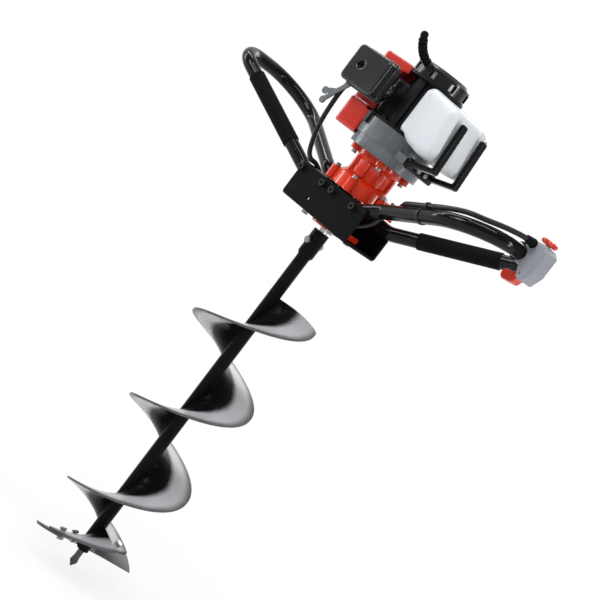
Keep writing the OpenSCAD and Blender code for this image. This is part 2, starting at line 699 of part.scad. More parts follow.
// Screws of the gearbox and of the clutch housing
module gear_case_bolts() color(STEEL) {
    at_case_bolts() translate([0, 0, case_boss_top]) cap_screw(case_bolt_d, case_boss_top - floor_z - 6);
    at_flange_bolts() translate([0, 0, neck_top_z + 6]) mirror([0, 0, 1]) cap_screw(case_bolt_d, 13);
}

// Ball bearing as two rings, standing on the origin
module bearing(bore, od, w) difference() {
    cylinder(d = od - 2 * run_gap, h = w);
    translate([0, 0, -1]) cylinder(d = bore + 2 * run_gap, h = w + 2);
    for (z = [-1, w - 1]) translate([0, 0, z]) difference() {
        cylinder(d = od - 6, h = 2);
        translate([0, 0, -1]) cylinder(d = bore + 6, h = 4);
    }
}

// Bearings of the output shaft
module output_bearings() color(STEEL) for (z = bearing_z) translate([0, 0, z - 0.1]) bearing(output_d, bearing_od, bearing_w);

// Bearings of the counter shaft and of the input shaft
module gear_bearings() color(STEEL) {
    translate([counter[0], counter[1], floor_z + 2.1]) bearing(journal_d, small_od, small_w - 0.2);
    translate([counter[0], counter[1], roof_z + 0.1]) bearing(journal_d, small_od, small_w);
    translate([engine_x, 0, roof_z]) bearing(input_d, input_bearing_od, input_bearing_w);
}

// Lip seal below the output bearings
module oil_seal() color(BLACK) translate([0, 0, bracket_z - 3]) difference() {
    cylinder(d = bearing_od - 2 * run_gap, h = 7);
    translate([0, 0, -1]) cylinder(d = output_d + 2 * run_gap, h = 9);
}

// Bent tube loop, with holes for its bolts
module handle_loop() difference() {
    bent_tube(handle_points, handle_radii, tube_d, tube_d - 2 * tube_wall);
    for (i = [0, 1]) translate([front_bolts_x[i], -bracket_w / 2, tube_z]) rotate([90, 0, 0])
        cylinder(d = bolt_d + 2 * seat_gap, h = 2 * (plate_t + tube_r), center = true);
    for (i = [2, 3]) translate([-front_bolts_x[i], bracket_w / 2, tube_z]) rotate([90, 0, 0])
        cylinder(d = bolt_d + 2 * seat_gap, h = 2 * (plate_t + tube_r), center = true);
}

// Left handle
module left_handle() color(BLACK) handle_loop();

// Right handle, the same loop turned half round
module right_handle() color(BLACK) rotate([0, 0, 180]) handle_loop();

// Grip sleeve on the straight of the front leg
module grip_sleeve() {
    a = handle_points[1];
    b = handle_points[2];
    u = unit(b - a);
    mid = a + 0.46 * (b - a);
    pipe(mid - grip_len / 2 * u, mid + grip_len / 2 * u, tube_d + 2 * grip_wall, tube_d + 2 * seat_gap);
}

// Left grip
module left_grip() color(BLACK) grip_sleeve();

// Right grip
module right_grip() color(BLACK) rotate([0, 0, 180]) grip_sleeve();

// Fan case under the engine, open towards the cylinder
module fan_case() color(GREY) difference() {
    union() {
        translate([engine_x, 0, fan_z]) cylinder(r = fan_r - 3, h = 22);
        translate([engine_x, 0, fan_z + 20]) cylinder(r = fan_r, h = fan_h - 20);
        translate([engine_x, -guard_y - 10, fan_z + 18]) cube([fan_r + 8, 2 * guard_y + 20, 14]);
    }
    translate([engine_x, 0, fan_z + 5]) cylinder(r = fan_r - 7, h = fan_h);
    translate([engine_x, 0, fan_z - 1]) cylinder(r = drum_r + 4, h = 10);
    at_flange_bolts() translate([0, 0, fan_z - 1]) cylinder(d = case_bolt_d + 2 * run_gap, h = 10);
    translate([engine_x - 2 * fan_r, -38, fan_z + 12]) cube([fan_r * 1.6, 76, fan_h - 18]);
    for (y = [-1, 1]) translate([engine_x + fan_r + 9, y * guard_bolt_y, guard_z]) rotate([0, -90, 0])
        cylinder(d = case_bolt_d + 2 * run_gap, h = 14);
}

// Clip for the ignition lead, on the side of the fan case
module lead_clip() color(BLACK) translate([engine_x, 0, fan_top - clip_size[2] + 4]) rotate([0, 0, clip_angle])
    translate([fan_r + seat_gap, -clip_size[1] / 2, 0]) cube(clip_size);

// Crankcase with the base that closes the fan case and the pad for the cylinder
module crankcase() color(BLACK) difference() {
    union() {
        translate([engine_x, 0, fan_top + seat_gap]) cylinder(r = fan_r - 1, h = 5);
        translate([engine_x, 0, fan_top + 5]) cylinder(r = crankcase_r, h = crankcase_h - 5);
        translate([cyl_x0, -fin_half + 4, cyl_z - 30]) cube([engine_x - cyl_x0, 2 * fin_half - 8, 60]);
        translate([engine_x, 0, case_top - case_flange_t]) cylinder(r = starter_r, h = case_flange_t);
        for (a = [40:80:320]) translate([engine_x, 0, fan_top + 5]) rotate([0, 0, a])
            translate([crankcase_r - 4, -3, 0]) cube([9, 6, crankcase_h - 5]);
    }
    translate([engine_x, 0, fan_top - 1]) cylinder(d = crank_d + 2 * run_gap, h = crankcase_h + 2);
}

// Finned cylinder with its intake and exhaust ports and the thread for the plug
module cylinder_block() {
    translate([cyl_x0 - seat_gap, 0, cyl_z]) rotate([0, -90, 0]) cylinder(r = 27, h = cyl_len);
    pitch = cyl_len / fin_count;
    for (i = [0:fin_count - 1]) translate([cyl_x0 - seat_gap - i * pitch - fin_t, 0, cyl_z]) rotate([0, 90, 0])
        linear_extrude(fin_t) round_rect([2 * fin_half, 2 * fin_half], 8);
    for (s = [-1, 1]) translate([intake_x, s * (fin_half - 4), cyl_z]) rotate([90, 0, 0])
        linear_extrude(16, center = true) round_rect([34, 30], 5);
}

// Cylinder
module cylinder_node() color(GREY) difference() {
    cylinder_block();
    translate([cyl_x1 + 10, 0, cyl_z]) rotate([0, -90, 0]) cylinder(d = plug_d + 2 * run_gap, h = 20);
    for (s = [-1, 1]) translate([intake_x, s * (fin_half + 6), cyl_z]) rotate([90, 0, 0])
        cylinder(d = 16, h = 30, center = true);
}

// Outline of the cylinder cover with half width y and cut corners, drawn in by an inset
function cover_outline(y, cut, i) = [[cover_front_x + i, -y + cut], [cover_front_x + 0.875 * cut + 0.6 * i, -y + i],
    [engine_x - 36 + i, -y + i], [engine_x - 36 + i, y - i],
    [cover_front_x + 0.875 * cut + 0.6 * i, y - i], [cover_front_x + i, y - cut]];

// Solid of the cylinder cover: a wide foot over the fan case and a narrow hood round the fins
module cover_solid(i) difference() {
    union() {
        translate([0, 0, cover_z0 + i]) linear_extrude(cover_step_z - cover_z0 - 2 * i)
            polygon(cover_outline(cover_y, 32, i));
        translate([0, 0, cover_z0 + 2 * i + 1]) linear_extrude(cover_z1 - cover_z0 - 3 * i - 1)
            polygon(cover_outline(cover_top_y, 16, i));
    }
    translate([cover_front_x, 0, cover_z0]) rotate([0, 45, 0])
        cube([2 * (cover_chamfer + i), 4 * cover_y, 2 * (cover_chamfer + i)], center = true);
}

// Red cover that leads the fan's air over the cylinder
module cylinder_cover() color(RED) difference() {
    cover_solid(0);
    cover_solid(cover_wall);
    translate([cyl_x0 - 2, -cover_y - 1, cover_step_z - 4]) cube([40, 2 * cover_y + 2, 86]);
    for (s = [0, 1]) mirror([0, s, 0])
        translate([intake_x - port_window[0] / 2, -cover_top_y - 1, cyl_z - port_window[1] / 2])
            cube([port_window[0], 8, port_window[1]]);
    translate([engine_x, 0, cover_z0 - 1]) cylinder(r = fan_r + seat_gap, h = fan_top + 8 - cover_z0);
    translate([engine_x, 0, cyl_z]) cylinder(r = starter_r + 1, h = 2 * crankcase_h);
    translate([cover_front_x - 28, 0, cyl_z]) rotate([0, 90, 0]) cylinder(r = 14, h = 60);
    for (z = [-30:9:42], y = [-16, 16]) if (abs(z) > 16)
        translate([cover_front_x - 8, y - 6, cyl_z + z - 2]) cube([20, 12, 4]);
}

// Spark plug, screwed into the cylinder head
module spark_plug() color(WHITE) translate([cyl_x1 + 9.5, 0, cyl_z]) rotate([0, -90, 0]) {
    cylinder(d = plug_d, h = 14);
    translate([0, 0, 9.8]) cylinder(d = 19, h = 8, $fn = 6);
    translate([0, 0, 17]) cylinder(d1 = 14, d2 = 9, h = 16);
}

// Rubber cap on the spark plug
module plug_cap() color(BLACK) translate([cyl_x1 + 9.5, 0, cyl_z]) rotate([0, -90, 0]) difference() {
    union() {
        translate([0, 0, 19]) cylinder(d = 18, h = 22);
        translate([0, 0, 34]) rotate([0, 60, 0]) cylinder(d = 10, h = 18);
    }
    translate([0, 0, 16]) cylinder(d1 = 14.6, d2 = 9.4, h = 17.4);
}

// Muffler on the exhaust port
module muffler() color(BLACK) translate([intake_x, fin_half + 4 + seat_gap, cyl_z]) difference() {
    union() {
        translate([0, muffler_neck + 1, 0]) rotate([90, 0, 0]) linear_extrude(muffler_neck + 1) round_rect([40, 34], 6);
        translate([0, muffler_neck + 38, 0]) rotate([90, 0, 0]) linear_extrude(38) round_rect([82, 72], 12);
        translate([0, muffler_neck + 21, 0]) rotate([90, 0, 0]) linear_extrude(3) round_rect([88, 78], 14);
        translate([22, muffler_neck + 28, -36]) cylinder(d = 18, h = 12, center = true);
    }
    translate([22, muffler_neck + 28, -47]) cylinder(d = 13, h = 20);
    translate([0, -1, 0]) rotate([-90, 0, 0]) cylinder(d = 16, h = 20);
}

// Heat insulator between cylinder and carburettor
module insulator() color(BLACK) translate([intake_x, -fin_half - 4.2, cyl_z]) rotate([90, 0, 0]) difference() {
    linear_extrude(10) round_rect([46, 32], 6);
    translate([0, 0, -1]) cylinder(d = 16, h = 14);
}

// Carburettor body with its fuel pump cover
module carburettor() color(STEEL) translate([intake_x, carb_y, cyl_z]) difference() {
    union() {
        rotate([90, 0, 0]) linear_extrude(carb_len) round_rect([40, 36], 4);
        translate([0, -carb_len / 2, 17]) cylinder(d = 20, h = 12);
        translate([0, -carb_len / 2, -24]) cylinder(d = carb_len, h = 8);
    }
    translate([0, 1, 0]) rotate([90, 0, 0]) cylinder(d = 15, h = carb_len + 2);
}

// Primer bulb on the side of the carburettor
module primer_bulb() color(BLACK) translate([intake_x + 20.2, carb_y - primer_drop, cyl_z + 4]) rotate([0, 90, 0]) {
    cylinder(d = primer_stem_d, h = primer_reach);
    translate([0, 0, primer_reach - 1]) cylinder(d = primer_d, h = 4);
    translate([0, 0, primer_reach + 2.5]) cylinder(d1 = primer_d - 4, d2 = primer_d / 2, h = 9);
}

// Base plate of the air cleaner, with the stub that the choke lever turns on
module air_cleaner_base() color(BLACK) {
    translate([intake_x, base_y, cleaner_z]) rotate([90, 0, 0]) difference() {
        linear_extrude(5) round_rect(cleaner_size + [4, 4], 10);
        translate([0, cyl_z - cleaner_z, -1]) cylinder(d = 15, h = 8);
        translate([-14, 2, -1]) cylinder(d = 5 + 2 * run_gap, h = 8);
    }
    translate([choke_pivot[0], base_y - 1, choke_pivot[2]]) rotate([-90, 0, 0]) {
        cylinder(d = choke_pin_d, h = 5.5);
        translate([0, 0, 5]) cylinder(d = choke_pin_d + 3, h = 1.5);
    }
}

// Foam filter element
module air_filter() color(GREY) translate([intake_x, base_y - 5.2, cleaner_z]) rotate([90, 0, 0]) difference() {
    linear_extrude(14) round_rect(cleaner_size - [12, 12], 7);
    translate([-14, 2, -1]) cylinder(d = 9, h = 20);
}

// Cover of the air cleaner, a deep pressed shell with a rim and a recess for its screw
module air_cleaner_cover() color(BLACK) translate([intake_x, base_y - 5.2, cleaner_z]) rotate([90, 0, 0]) difference() {
    union() {
        linear_extrude(cleaner_depth) round_rect(cleaner_size, 8);
        linear_extrude(4) round_rect(cleaner_size + [4, 4], 10);
        translate([0, 0, cleaner_depth - 6]) linear_extrude(3) round_rect(cleaner_size + [3, 3], 9);
    }
    translate([0, 0, -1]) linear_extrude(cleaner_depth - 2) round_rect(cleaner_size - [5, 5], 6);
    translate([-14, 2, 0]) cylinder(d = 16, h = 60);
}

// Screw that holds the cover, deep in its recess
module cover_screw() color(BLACK) translate([intake_x - 14, base_y - 5.2, cleaner_z + 2]) rotate([90, 0, 0]) difference() {
    union() {
        translate([0, 0, -4.5]) cylinder(d = 5, h = 20);
        translate([0, 0, 14.2]) cylinder(d = 15.4, h = cleaner_depth - 18);
    }
    translate([0, 0, cleaner_depth - 8]) cylinder(d = 10, h = 10, $fn = 6);
}

// Choke lever behind the air cleaner, with a two-lobed end
module choke_lever() color(STEEL) translate(choke_pivot) rotate([90, 0, 0]) mirror([0, 0, 1])
    linear_extrude(3) difference() {
        union() {
            for (p = [[0, 0], choke_lobe_1, choke_lobe_2]) {
                strip(p, choke_fork, choke_lever_w);
                eye(p, p == [0, 0] ? choke_lever_w : choke_lobe_w);
            }
            eye(choke_fork, choke_lever_w);
        }
        circle(d = choke_pin_d + 2 * run_gap, $fn = 32);
    }

// Recoil starter housing with air windows
module starter_housing() color(BLACK) translate([engine_x, 0, starter_z]) difference() {
    union() {
        cylinder(r = starter_r, h = starter_h - starter_slope);
        translate([0, 0, starter_h - starter_slope - 1])
            cylinder(r1 = starter_r - 1, r2 = starter_r - 8, h = starter_slope + 1);
        translate([0, -starter_r + 6, starter_h - 9]) rotate(tilt(pull_dir)) cylinder(d = 16, h = 14);
    }
    translate([0, 0, -1]) cylinder(r = starter_r - starter_wall, h = starter_h - starter_roof + 1);
    for (a = [0:45:315]) rotate([0, 0, a + 20]) translate([starter_r - 8, -window_w / 2, 3])
        cube([16, window_w, starter_h - starter_roof - 4]);
    translate([0, -starter_r + 6, starter_h - 9] - 20 * pull_dir) rotate(tilt(pull_dir))
        cylinder(d = rope_d + 1, h = 40);
}

// Steel cup on the crankshaft that the starter turns
module starter_cup() color(STEEL) translate([engine_x, 0, starter_z + 1.5]) difference() {
    cylinder(r = cup_r, h = starter_h - starter_roof - 3);
    translate([0, 0, 2]) cylinder(r = cup_r - 2, h = starter_h);
    translate([0, 0, -1]) cylinder(d = crank_d + 2 * run_gap, h = 4);
}

// Starter grip: a curved, ribbed handle on the rope
module starter_grip() color(BLACK) {
    centre = grip_seat + grip_bend * pull_side;
    multmatrix([[0, 0, -1, centre[0]], [-pull_side[1], pull_dir[1], 0, centre[1]],
        [-pull_side[2], pull_dir[2], 0, centre[2]], [0, 0, 0, 1]]) {
        rotate_extrude(angle = grip_sweep) translate([grip_bend, 0]) circle(d = grip_d, $fn = 32);
        for (k = [0:grip_ribs - 1]) rotate([0, 0, 8 + k * (grip_sweep - 12) / grip_ribs])
            rotate_extrude(angle = 3.5) translate([grip_bend, 0]) circle(d = grip_d + 3, $fn = 32);
        rotate([0, 0, grip_sweep]) translate([grip_bend, 0, 0]) sphere(d = grip_d + 1, $fn = 32);
    }
}

// Short length of rope between the housing and the grip
module starter_rope() color(WHITE) translate(grip_seat - 12 * pull_dir) rotate(tilt(pull_dir))
    cylinder(d = rope_d, h = 11.9, $fn = 16);

// Fuel tank, moulded round the crankcase and the fan case
module fuel_tank() color(WHITE) difference() {
    r = tank_round;
    inner = engine_x + 28;
    hull() for (s = [-1, 1]) {
        for (p = [[inner + r, tank_top - r], [tank_reach - tank_lean - r, tank_top - 8 - r], [inner + r, tank_z + 9 + r]])
            translate([p[0], s * (tank_half_w - r), p[1]]) sphere(r = r, $fn = 24);
        for (p = [[tank_reach - r, tank_z + 2 + r], [engine_x + fan_r + 5 + r, tank_z + r]])
            translate([p[0], s * (tank_half_w - r - 2), p[1]]) sphere(r = r, $fn = 24);
    }
    translate([engine_x, 0, tank_z - 20]) cylinder(r = fan_r + 1, h = fan_top + 7 - tank_z + 20);
    translate([engine_x, 0, tank_z]) cylinder(r = crankcase_r + 8, h = 200);
    translate([engine_x, 0, case_top - case_flange_t - 1]) cylinder(r = starter_r + 1, h = 60);
    translate([cap_x, tank_half_w + 1, cap_z]) rotate([90, 0, 0]) cylinder(d = 22, h = 12);
}

// Screw cap of the tank, on its far side
module fuel_cap() color(BLACK) translate([cap_x, tank_half_w + 0.3, cap_z]) rotate([-90, 0, 0]) {
    cylinder(d = 36, h = 14);
    for (a = [0:20:340]) rotate([0, 0, a]) translate([18, 0, 0]) cylinder(d = 4, h = 13, $fn = 16);
    translate([0, 0, -8]) cylinder(d = 20, h = 9);
}

// Fork that guards the tank
module tank_guard() color(BLACK) {
    for (s = [-1, 1]) translate([0, s * guard_y + 7, 0]) rotate([90, 0, 0]) linear_extrude(14) {
        strip([guard_x + 1, guard_z], guard_toe, guard_w);
        strip(guard_toe, guard_tip, guard_w);
        eye(guard_toe, guard_w);
        eye(guard_tip, guard_w);
    }
    difference() {
        translate([guard_x, -guard_y - 7, guard_z - 10]) cube([6, 2 * guard_y + 14, 20]);
        for (s = [-1, 1]) translate([guard_x - 1, s * guard_bolt_y, guard_z]) rotate([0, 90, 0])
            cylinder(d = case_bolt_d + 2 * seat_gap, h = 8);
    }
}

// Bolts of the guard
module guard_bolts() color(STEEL) for (s = [-1, 1])
    translate([guard_x + 6, s * guard_bolt_y, guard_z]) rotate([0, 90, 0]) cap_screw(case_bolt_d, 16);

// Inner half of the throttle clamp, with its round cheek
module throttle_clamp() color(BLACK) translate([handle_reach, throttle_y, crosspiece_z]) rotate([-90, 0, 0])
    linear_extrude(throttle_len) difference() {
        circle(r = tube_r + clamp_wall);
        circle(r = tube_r + seat_gap);
        translate([-seat_gap, -50]) square(100);
    }

// Grey throttle case, the outer half of the clamp
module throttle_case() color(GREY) difference() {
    translate([handle_reach, throttle_y, crosspiece_z]) rotate([90, 0, 0]) mirror([0, 0, 1])
        linear_extrude(throttle_len)
            polygon([[0, 17], [12, 30], [36, 33], [46, 24], [46, -14], [36, -36], [22, -36], [12, -17], [0, -17]]);
    translate([handle_reach, throttle_y - 1, crosspiece_z]) rotate([-90, 0, 0])
        cylinder(r = tube_r + seat_gap, h = throttle_len + 2);
    translate([handle_reach - 30, throttle_y + 6, crosspiece_z - 60]) cube([62, throttle_len - 12, 42]);
    translate([trigger_pivot[0], throttle_y - 1, trigger_pivot[1]]) rotate([-90, 0, 0])
        cylinder(d = trigger_pin_d + 2 * run_gap, h = throttle_len + 2);
    translate([handle_reach + 26, throttle_y + 8, crosspiece_z + 20]) cube([6, throttle_len - 16, 20]);
}

// Trigger, a curved lever under the handle
module trigger() color(RED) translate([trigger_pivot[0], throttle_y + 6 + pass_gap, trigger_pivot[1]])
    rotate([90, 0, 0]) mirror([0, 0, 1]) linear_extrude(throttle_len - 12 - 2 * pass_gap) difference() {
        union() {
            strip([0, 0], trigger_knee, trigger_arm_w);
            strip(trigger_knee, trigger_toe, trigger_pad_w);
            eye([0, 0], trigger_arm_w);
            eye(trigger_knee, trigger_pad_w);
            eye(trigger_toe, trigger_pad_w);
        }
        circle(d = trigger_pin_d + 2 * run_gap, $fn = 32);
    }

// Pin of the trigger
module trigger_pin() color(STEEL) translate([trigger_pivot[0], throttle_y, trigger_pivot[1]]) rotate([-90, 0, 0])
    cylinder(d = trigger_pin_d, h = throttle_len, $fn = 32);

// Stop switch, a ribbed slider on top of the case
module stop_switch() color(RED) {
    y0 = throttle_y + 8 + pass_gap;
    translate([handle_reach + 26 + pass_gap, y0, crosspiece_z + 24]) cube([6 - 2 * pass_gap, 8, 12]);
    translate([handle_reach + 20, y0 - 1, crosspiece_z + 34]) difference() {
        cube([18, 11, 9]);
        for (x = [3:5:16]) translate([x, -1, 7]) cube([2, 20, 4]);
    }
}

// Smooth curve through a list of points
function spline(p, i, t) = let (
        a = p[max(i - 1, 0)], b = p[i], c = p[i + 1], d = p[min(i + 2, len(p) - 1)]
    ) 0.5 * (2 * b + (c - a) * t + (2 * a - 5 * b + 4 * c - d) * t * t + (3 * b - a - 3 * c + d) * t * t * t);
function curve(p, steps) = concat(
    [for (i = [0:len(p) - 2], k = [0:steps - 1]) spline(p, i, k / steps)], [p[len(p) - 1]]);
function carry(n, u) = unit(n - (n * u) * u);
function frames(c, i, n) = let (
        u = unit(c[min(i + 1, len(c) - 1)] - c[max(i - 1, 0)]),
        m = carry(n, u)
    ) i == len(c) - 1 ? [[m, cross(u, m)]] : concat([[m, cross(u, m)]], frames(c, i + 1, m));

// Flexible tube along a curve
module swept_tube(p, r, sides, steps) {
    c = curve(p, steps);
    f = frames(c, 0, [0.1, 0.2, 1]);
    n = len(c) - 1;
    points = [for (i = [0:n], k = [0:sides - 1])
        c[i] + r * (cos(360 * k / sides) * f[i][0] + sin(360 * k / sides) * f[i][1])];
    walls = [for (i = [0:n - 1], k = [0:sides - 1]) let (
            a = i * sides + k,
            b = i * sides + (k + 1) % sides
        ) each [[a, b, a + sides], [b, b + sides, a + sides]]];
    ends = [for (k = [1:sides - 2]) each [[0, k + 1, k], [n * sides, n * sides + k, n * sides + k + 1]]];
    polyhedron(points = points, faces = concat(walls, ends));
}

// Throttle cable from the carburettor, through the bracket and along the right handle
module throttle_cable() color(BLACK) swept_tube(cable_points, cable_d / 2, 8, 3);

// Clip that holds the cable to the handle
module cable_tie() color(BLACK) {
    translate(leg_low + tie_place * (leg_high - leg_low)) rotate(leg_tilt) linear_extrude(6) difference() {
        union() {
            circle(r = tube_r + 2);
            translate([-cable_lift, 0]) circle(r = cable_d / 2 + 2);
        }
        circle(r = tube_r + seat_gap);
        translate([-cable_lift, 0]) circle(r = cable_d / 2 + pass_gap);
    }
}

pilot_point();
auger_shaft();
auger_flight();
stub_flight();
cutter_blades();
blade_bolts();
coupling_bolt();
output_shaft();
output_gear();
counter_shaft();
counter_gear();
input_pinion();
clutch_drum();
clutch_shoes();
crankshaft();
flywheel();
handle_bracket();
bracket_bolts();
gear_case();
gear_cover();
gear_case_bolts();
output_bearings();
gear_bearings();
oil_seal();
left_handle();
right_handle();
left_grip();
right_grip();
handle_bolts();
fan_case();
lead_clip();
crankcase();
cylinder_node();  // cylinder
cylinder_cover();
spark_plug();
plug_cap();
muffler();
insulator();
carburettor();
primer_bulb();
air_cleaner_base();
air_filter();
air_cleaner_cover();
cover_screw();
choke_lever();
starter_housing();
starter_cup();
starter_grip();
starter_rope();
fuel_tank();
fuel_cap();
tank_guard();
guard_bolts();
throttle_clamp();
throttle_case();
trigger();
trigger_pin();
stop_switch();
throttle_cable();
cable_tie();
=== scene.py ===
import json
import math

import bmesh
import bpy
from mathutils import Matrix, Quaternion, Vector


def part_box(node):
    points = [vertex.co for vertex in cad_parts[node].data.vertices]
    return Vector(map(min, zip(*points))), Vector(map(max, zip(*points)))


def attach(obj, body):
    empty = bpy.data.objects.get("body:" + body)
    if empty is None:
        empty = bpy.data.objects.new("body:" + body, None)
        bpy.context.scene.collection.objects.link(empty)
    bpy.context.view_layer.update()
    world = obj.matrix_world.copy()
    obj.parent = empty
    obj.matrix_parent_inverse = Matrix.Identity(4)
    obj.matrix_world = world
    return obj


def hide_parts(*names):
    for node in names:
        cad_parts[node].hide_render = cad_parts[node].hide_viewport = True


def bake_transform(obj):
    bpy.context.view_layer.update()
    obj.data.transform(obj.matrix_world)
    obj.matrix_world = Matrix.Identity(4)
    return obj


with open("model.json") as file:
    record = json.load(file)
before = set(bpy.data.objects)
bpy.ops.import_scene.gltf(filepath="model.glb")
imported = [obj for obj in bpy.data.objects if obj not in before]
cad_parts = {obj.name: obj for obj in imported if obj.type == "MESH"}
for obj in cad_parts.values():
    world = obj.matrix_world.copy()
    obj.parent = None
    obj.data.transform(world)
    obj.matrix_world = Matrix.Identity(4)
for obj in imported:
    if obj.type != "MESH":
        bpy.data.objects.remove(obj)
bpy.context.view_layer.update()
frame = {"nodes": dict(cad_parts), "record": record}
nodes = frame["nodes"]
record = frame["record"]
body_of_node = {node: body for body, members in record["behaviour"]["bodies"].items() for node in members}
slot_of_node = {subpart["node"]: subpart["material_slot"] for subpart in record["subparts"]}
scene = bpy.context.scene
scene.view_settings.view_transform = "Standard"
FULL_TURN = 2 * math.pi
MM = 0.001

# Camera at the photographed view: the machine stands upright and the camera is rolled
CAMERA_PLACE = Vector((1.7511, -1.9153, 0.8994))
CAMERA_HEADING = math.radians(131.5342)
CAMERA_DIP = math.radians(5.8411)
CAMERA_ROLL = math.radians(37.2299)
FOCAL_PIXELS = 1485.3
PHOTO_PIXELS = 600
SENSOR_WIDTH = 36.0
VIEW_DEPTH = 50


def place_camera():
    lens = bpy.data.cameras.new("photo_camera")
    lens.sensor_width = SENSOR_WIDTH
    lens.lens = FOCAL_PIXELS / PHOTO_PIXELS * SENSOR_WIDTH
    lens.clip_end = VIEW_DEPTH
    camera = bpy.data.objects.new("photo_camera", lens)
    scene.collection.objects.link(camera)
    level = Vector((math.cos(CAMERA_HEADING), math.sin(CAMERA_HEADING), 0))
    ahead = math.cos(CAMERA_DIP) * level - math.sin(CAMERA_DIP) * Vector((0, 0, 1))
    turn = ahead.to_track_quat("-Z", "Y") @ Quaternion((0, 0, 1), CAMERA_ROLL)
    camera.matrix_world = Matrix.Translation(CAMERA_PLACE) @ turn.to_matrix().to_4x4()
    scene.camera = camera


# Helpers for node trees of every kind
FLOAT = "NodeSocketFloat"
VECTOR = "NodeSocketVector"
COUNT = "NodeSocketInt"
SHAPE = "NodeSocketGeometry"
MATERIAL = "NodeSocketMaterial"


def new_group(name, kind, inputs, outputs):
    """An empty node group with inputs (label, type, first value) and outputs (label, type)."""
    group = bpy.data.node_groups.new(name, kind)
    for label, socket_type, value in inputs:
        socket = group.interface.new_socket(label, in_out="INPUT", socket_type=socket_type)
        if value is not None:
            socket.default_value = value
    for label, socket_type in outputs:
        group.interface.new_socket(label, in_out="OUTPUT", socket_type=socket_type)
    return group, group.nodes.new("NodeGroupInput"), group.nodes.new("NodeGroupOutput")


def set_inputs(node, values):
    """Sets a node's inputs by name, where an underscore stands for a space."""
    for label, value in values.items():
        node.inputs[label.replace("_", " ")].default_value = value
    return node


def add_node(tree, kind, operation=None, **values):
    node = tree.nodes.new(kind)
    if operation:
        node.operation = operation
    return set_inputs(node, values)


def feed(tree, socket, value):
    """Gives a socket a number or another node's output."""
    if isinstance(value, (int, float)):
        socket.default_value = value
    else:
        tree.links.new(value, socket)


def math_node(tree, operation, *values):
    node = add_node(tree, "ShaderNodeMath", operation)
    for socket, value in zip(node.inputs, values):
        feed(tree, socket, value)
    return node.outputs[0]


def ranged(tree, value, low, high, start, end, smooth=False):
    """A value carried over from the range low to high to the range start to end."""
    node = tree.nodes.new("ShaderNodeMapRange")
    if smooth:
        node.interpolation_type = "SMOOTHSTEP"
    for label, given in (("Value", value), ("From Min", low), ("From Max", high), ("To Min", start),
                         ("To Max", end)):
        feed(tree, node.inputs[label], given)
    return node.outputs["Result"]


def mixed_colour(tree, share, low, high):
    """The colour at a share of the way from low to high, each a colour or another node's output."""
    mix = tree.nodes.new("ShaderNodeMix")
    mix.data_type = "RGBA"
    tree.links.new(share, mix.inputs[0])
    for socket, colour in ((mix.inputs[6], low), (mix.inputs[7], high)):
        if isinstance(colour, tuple):
            socket.default_value = (*colour, 1)
        else:
            tree.links.new(colour, socket)
    return mix.outputs[2]


# Shader groups that several finishes share
TONE_SPREAD = (0.3, 0.7)
SCUFF_FULL = 0.8
SCUFF_PATCHES = 14


def make_mottle():
    """Slow and fine unevenness of a painted, cast or moulded skin."""
    group, entry, leave = new_group(
        "mottle", "ShaderNodeTree",
        [("Vector", VECTOR, None), ("Broad Scale", FLOAT, 18.0), ("Fine Scale", FLOAT, 420.0),
         ("Fine Share", FLOAT, 0.4)],
        [("Tone", FLOAT), ("Height", FLOAT)])
    broad = add_node(group, "ShaderNodeTexNoise", Detail=4)
    fine = add_node(group, "ShaderNodeTexNoise", Detail=3)
    mix = add_node(group, "ShaderNodeMix")
    link = group.links.new
    for noise, scale in ((broad, "Broad Scale"), (fine, "Fine Scale")):
        link(entry.outputs["Vector"], noise.inputs["Vector"])
        link(entry.outputs[scale], noise.inputs["Scale"])
    link(entry.outputs["Fine Share"], mix.inputs[0])
    link(broad.outputs["Fac"], mix.inputs[2])
    link(fine.outputs["Fac"], mix.inputs[3])
    link(ranged(group, mix.outputs[0], *TONE_SPREAD, 0, 1), leave.inputs["Tone"])
    link(fine.outputs["Fac"], leave.inputs["Height"])
    return group


def make_scuffs():
    """Thin rubbed marks, long in one direction."""
    group, entry, leave = new_group(
        "scuffs", "ShaderNodeTree",
        [("Vector", VECTOR, None), ("Scale", FLOAT, 60.0), ("Stretch", VECTOR, (1.0, 1.0, 0.08)),
         ("Cover", FLOAT, 0.62)],
        [("Mask", FLOAT)])
    stretch = add_node(group, "ShaderNodeVectorMath", "MULTIPLY")
    streak = add_node(group, "ShaderNodeTexNoise", Detail=6)
    patch = add_node(group, "ShaderNodeTexNoise", Scale=SCUFF_PATCHES)
    link = group.links.new
    link(entry.outputs["Vector"], stretch.inputs[0])
    link(entry.outputs["Stretch"], stretch.inputs[1])
    link(stretch.outputs[0], streak.inputs["Vector"])
    link(entry.outputs["Scale"], streak.inputs["Scale"])
    link(entry.outputs["Vector"], patch.inputs["Vector"])
    marks = ranged(group, streak.outputs["Fac"], entry.outputs["Cover"], SCUFF_FULL, 0, 1)
    link(math_node(group, "MULTIPLY", marks, patch.outputs["Fac"]), leave.inputs["Mask"])
    return group


MOTTLE = make_mottle()
SCUFFS = make_scuffs()


def placed_group(tree, group, where, **values):
    """A shader group in a material, on the piece's own coordinates."""
    placed = tree.nodes.new("ShaderNodeGroup")
    placed.node_tree = group
    tree.links.new(where, placed.inputs["Vector"])
    return set_inputs(placed, values)


# Painted reflection on the bit's flights: a lighter, more metallic band by its distance from the axis, where
# a lamp's sheen would lie
BAND_RISE = (0.052, 0.068)
BAND_FALL = (0.086, 0.104)
BAND_RAGGED = 0.008
BAND_EDGE_SHARE = 0.22
SHEEN_BAND_COLOUR = (0.44, 0.445, 0.462)
SHEEN_BAND_METAL = 0.12


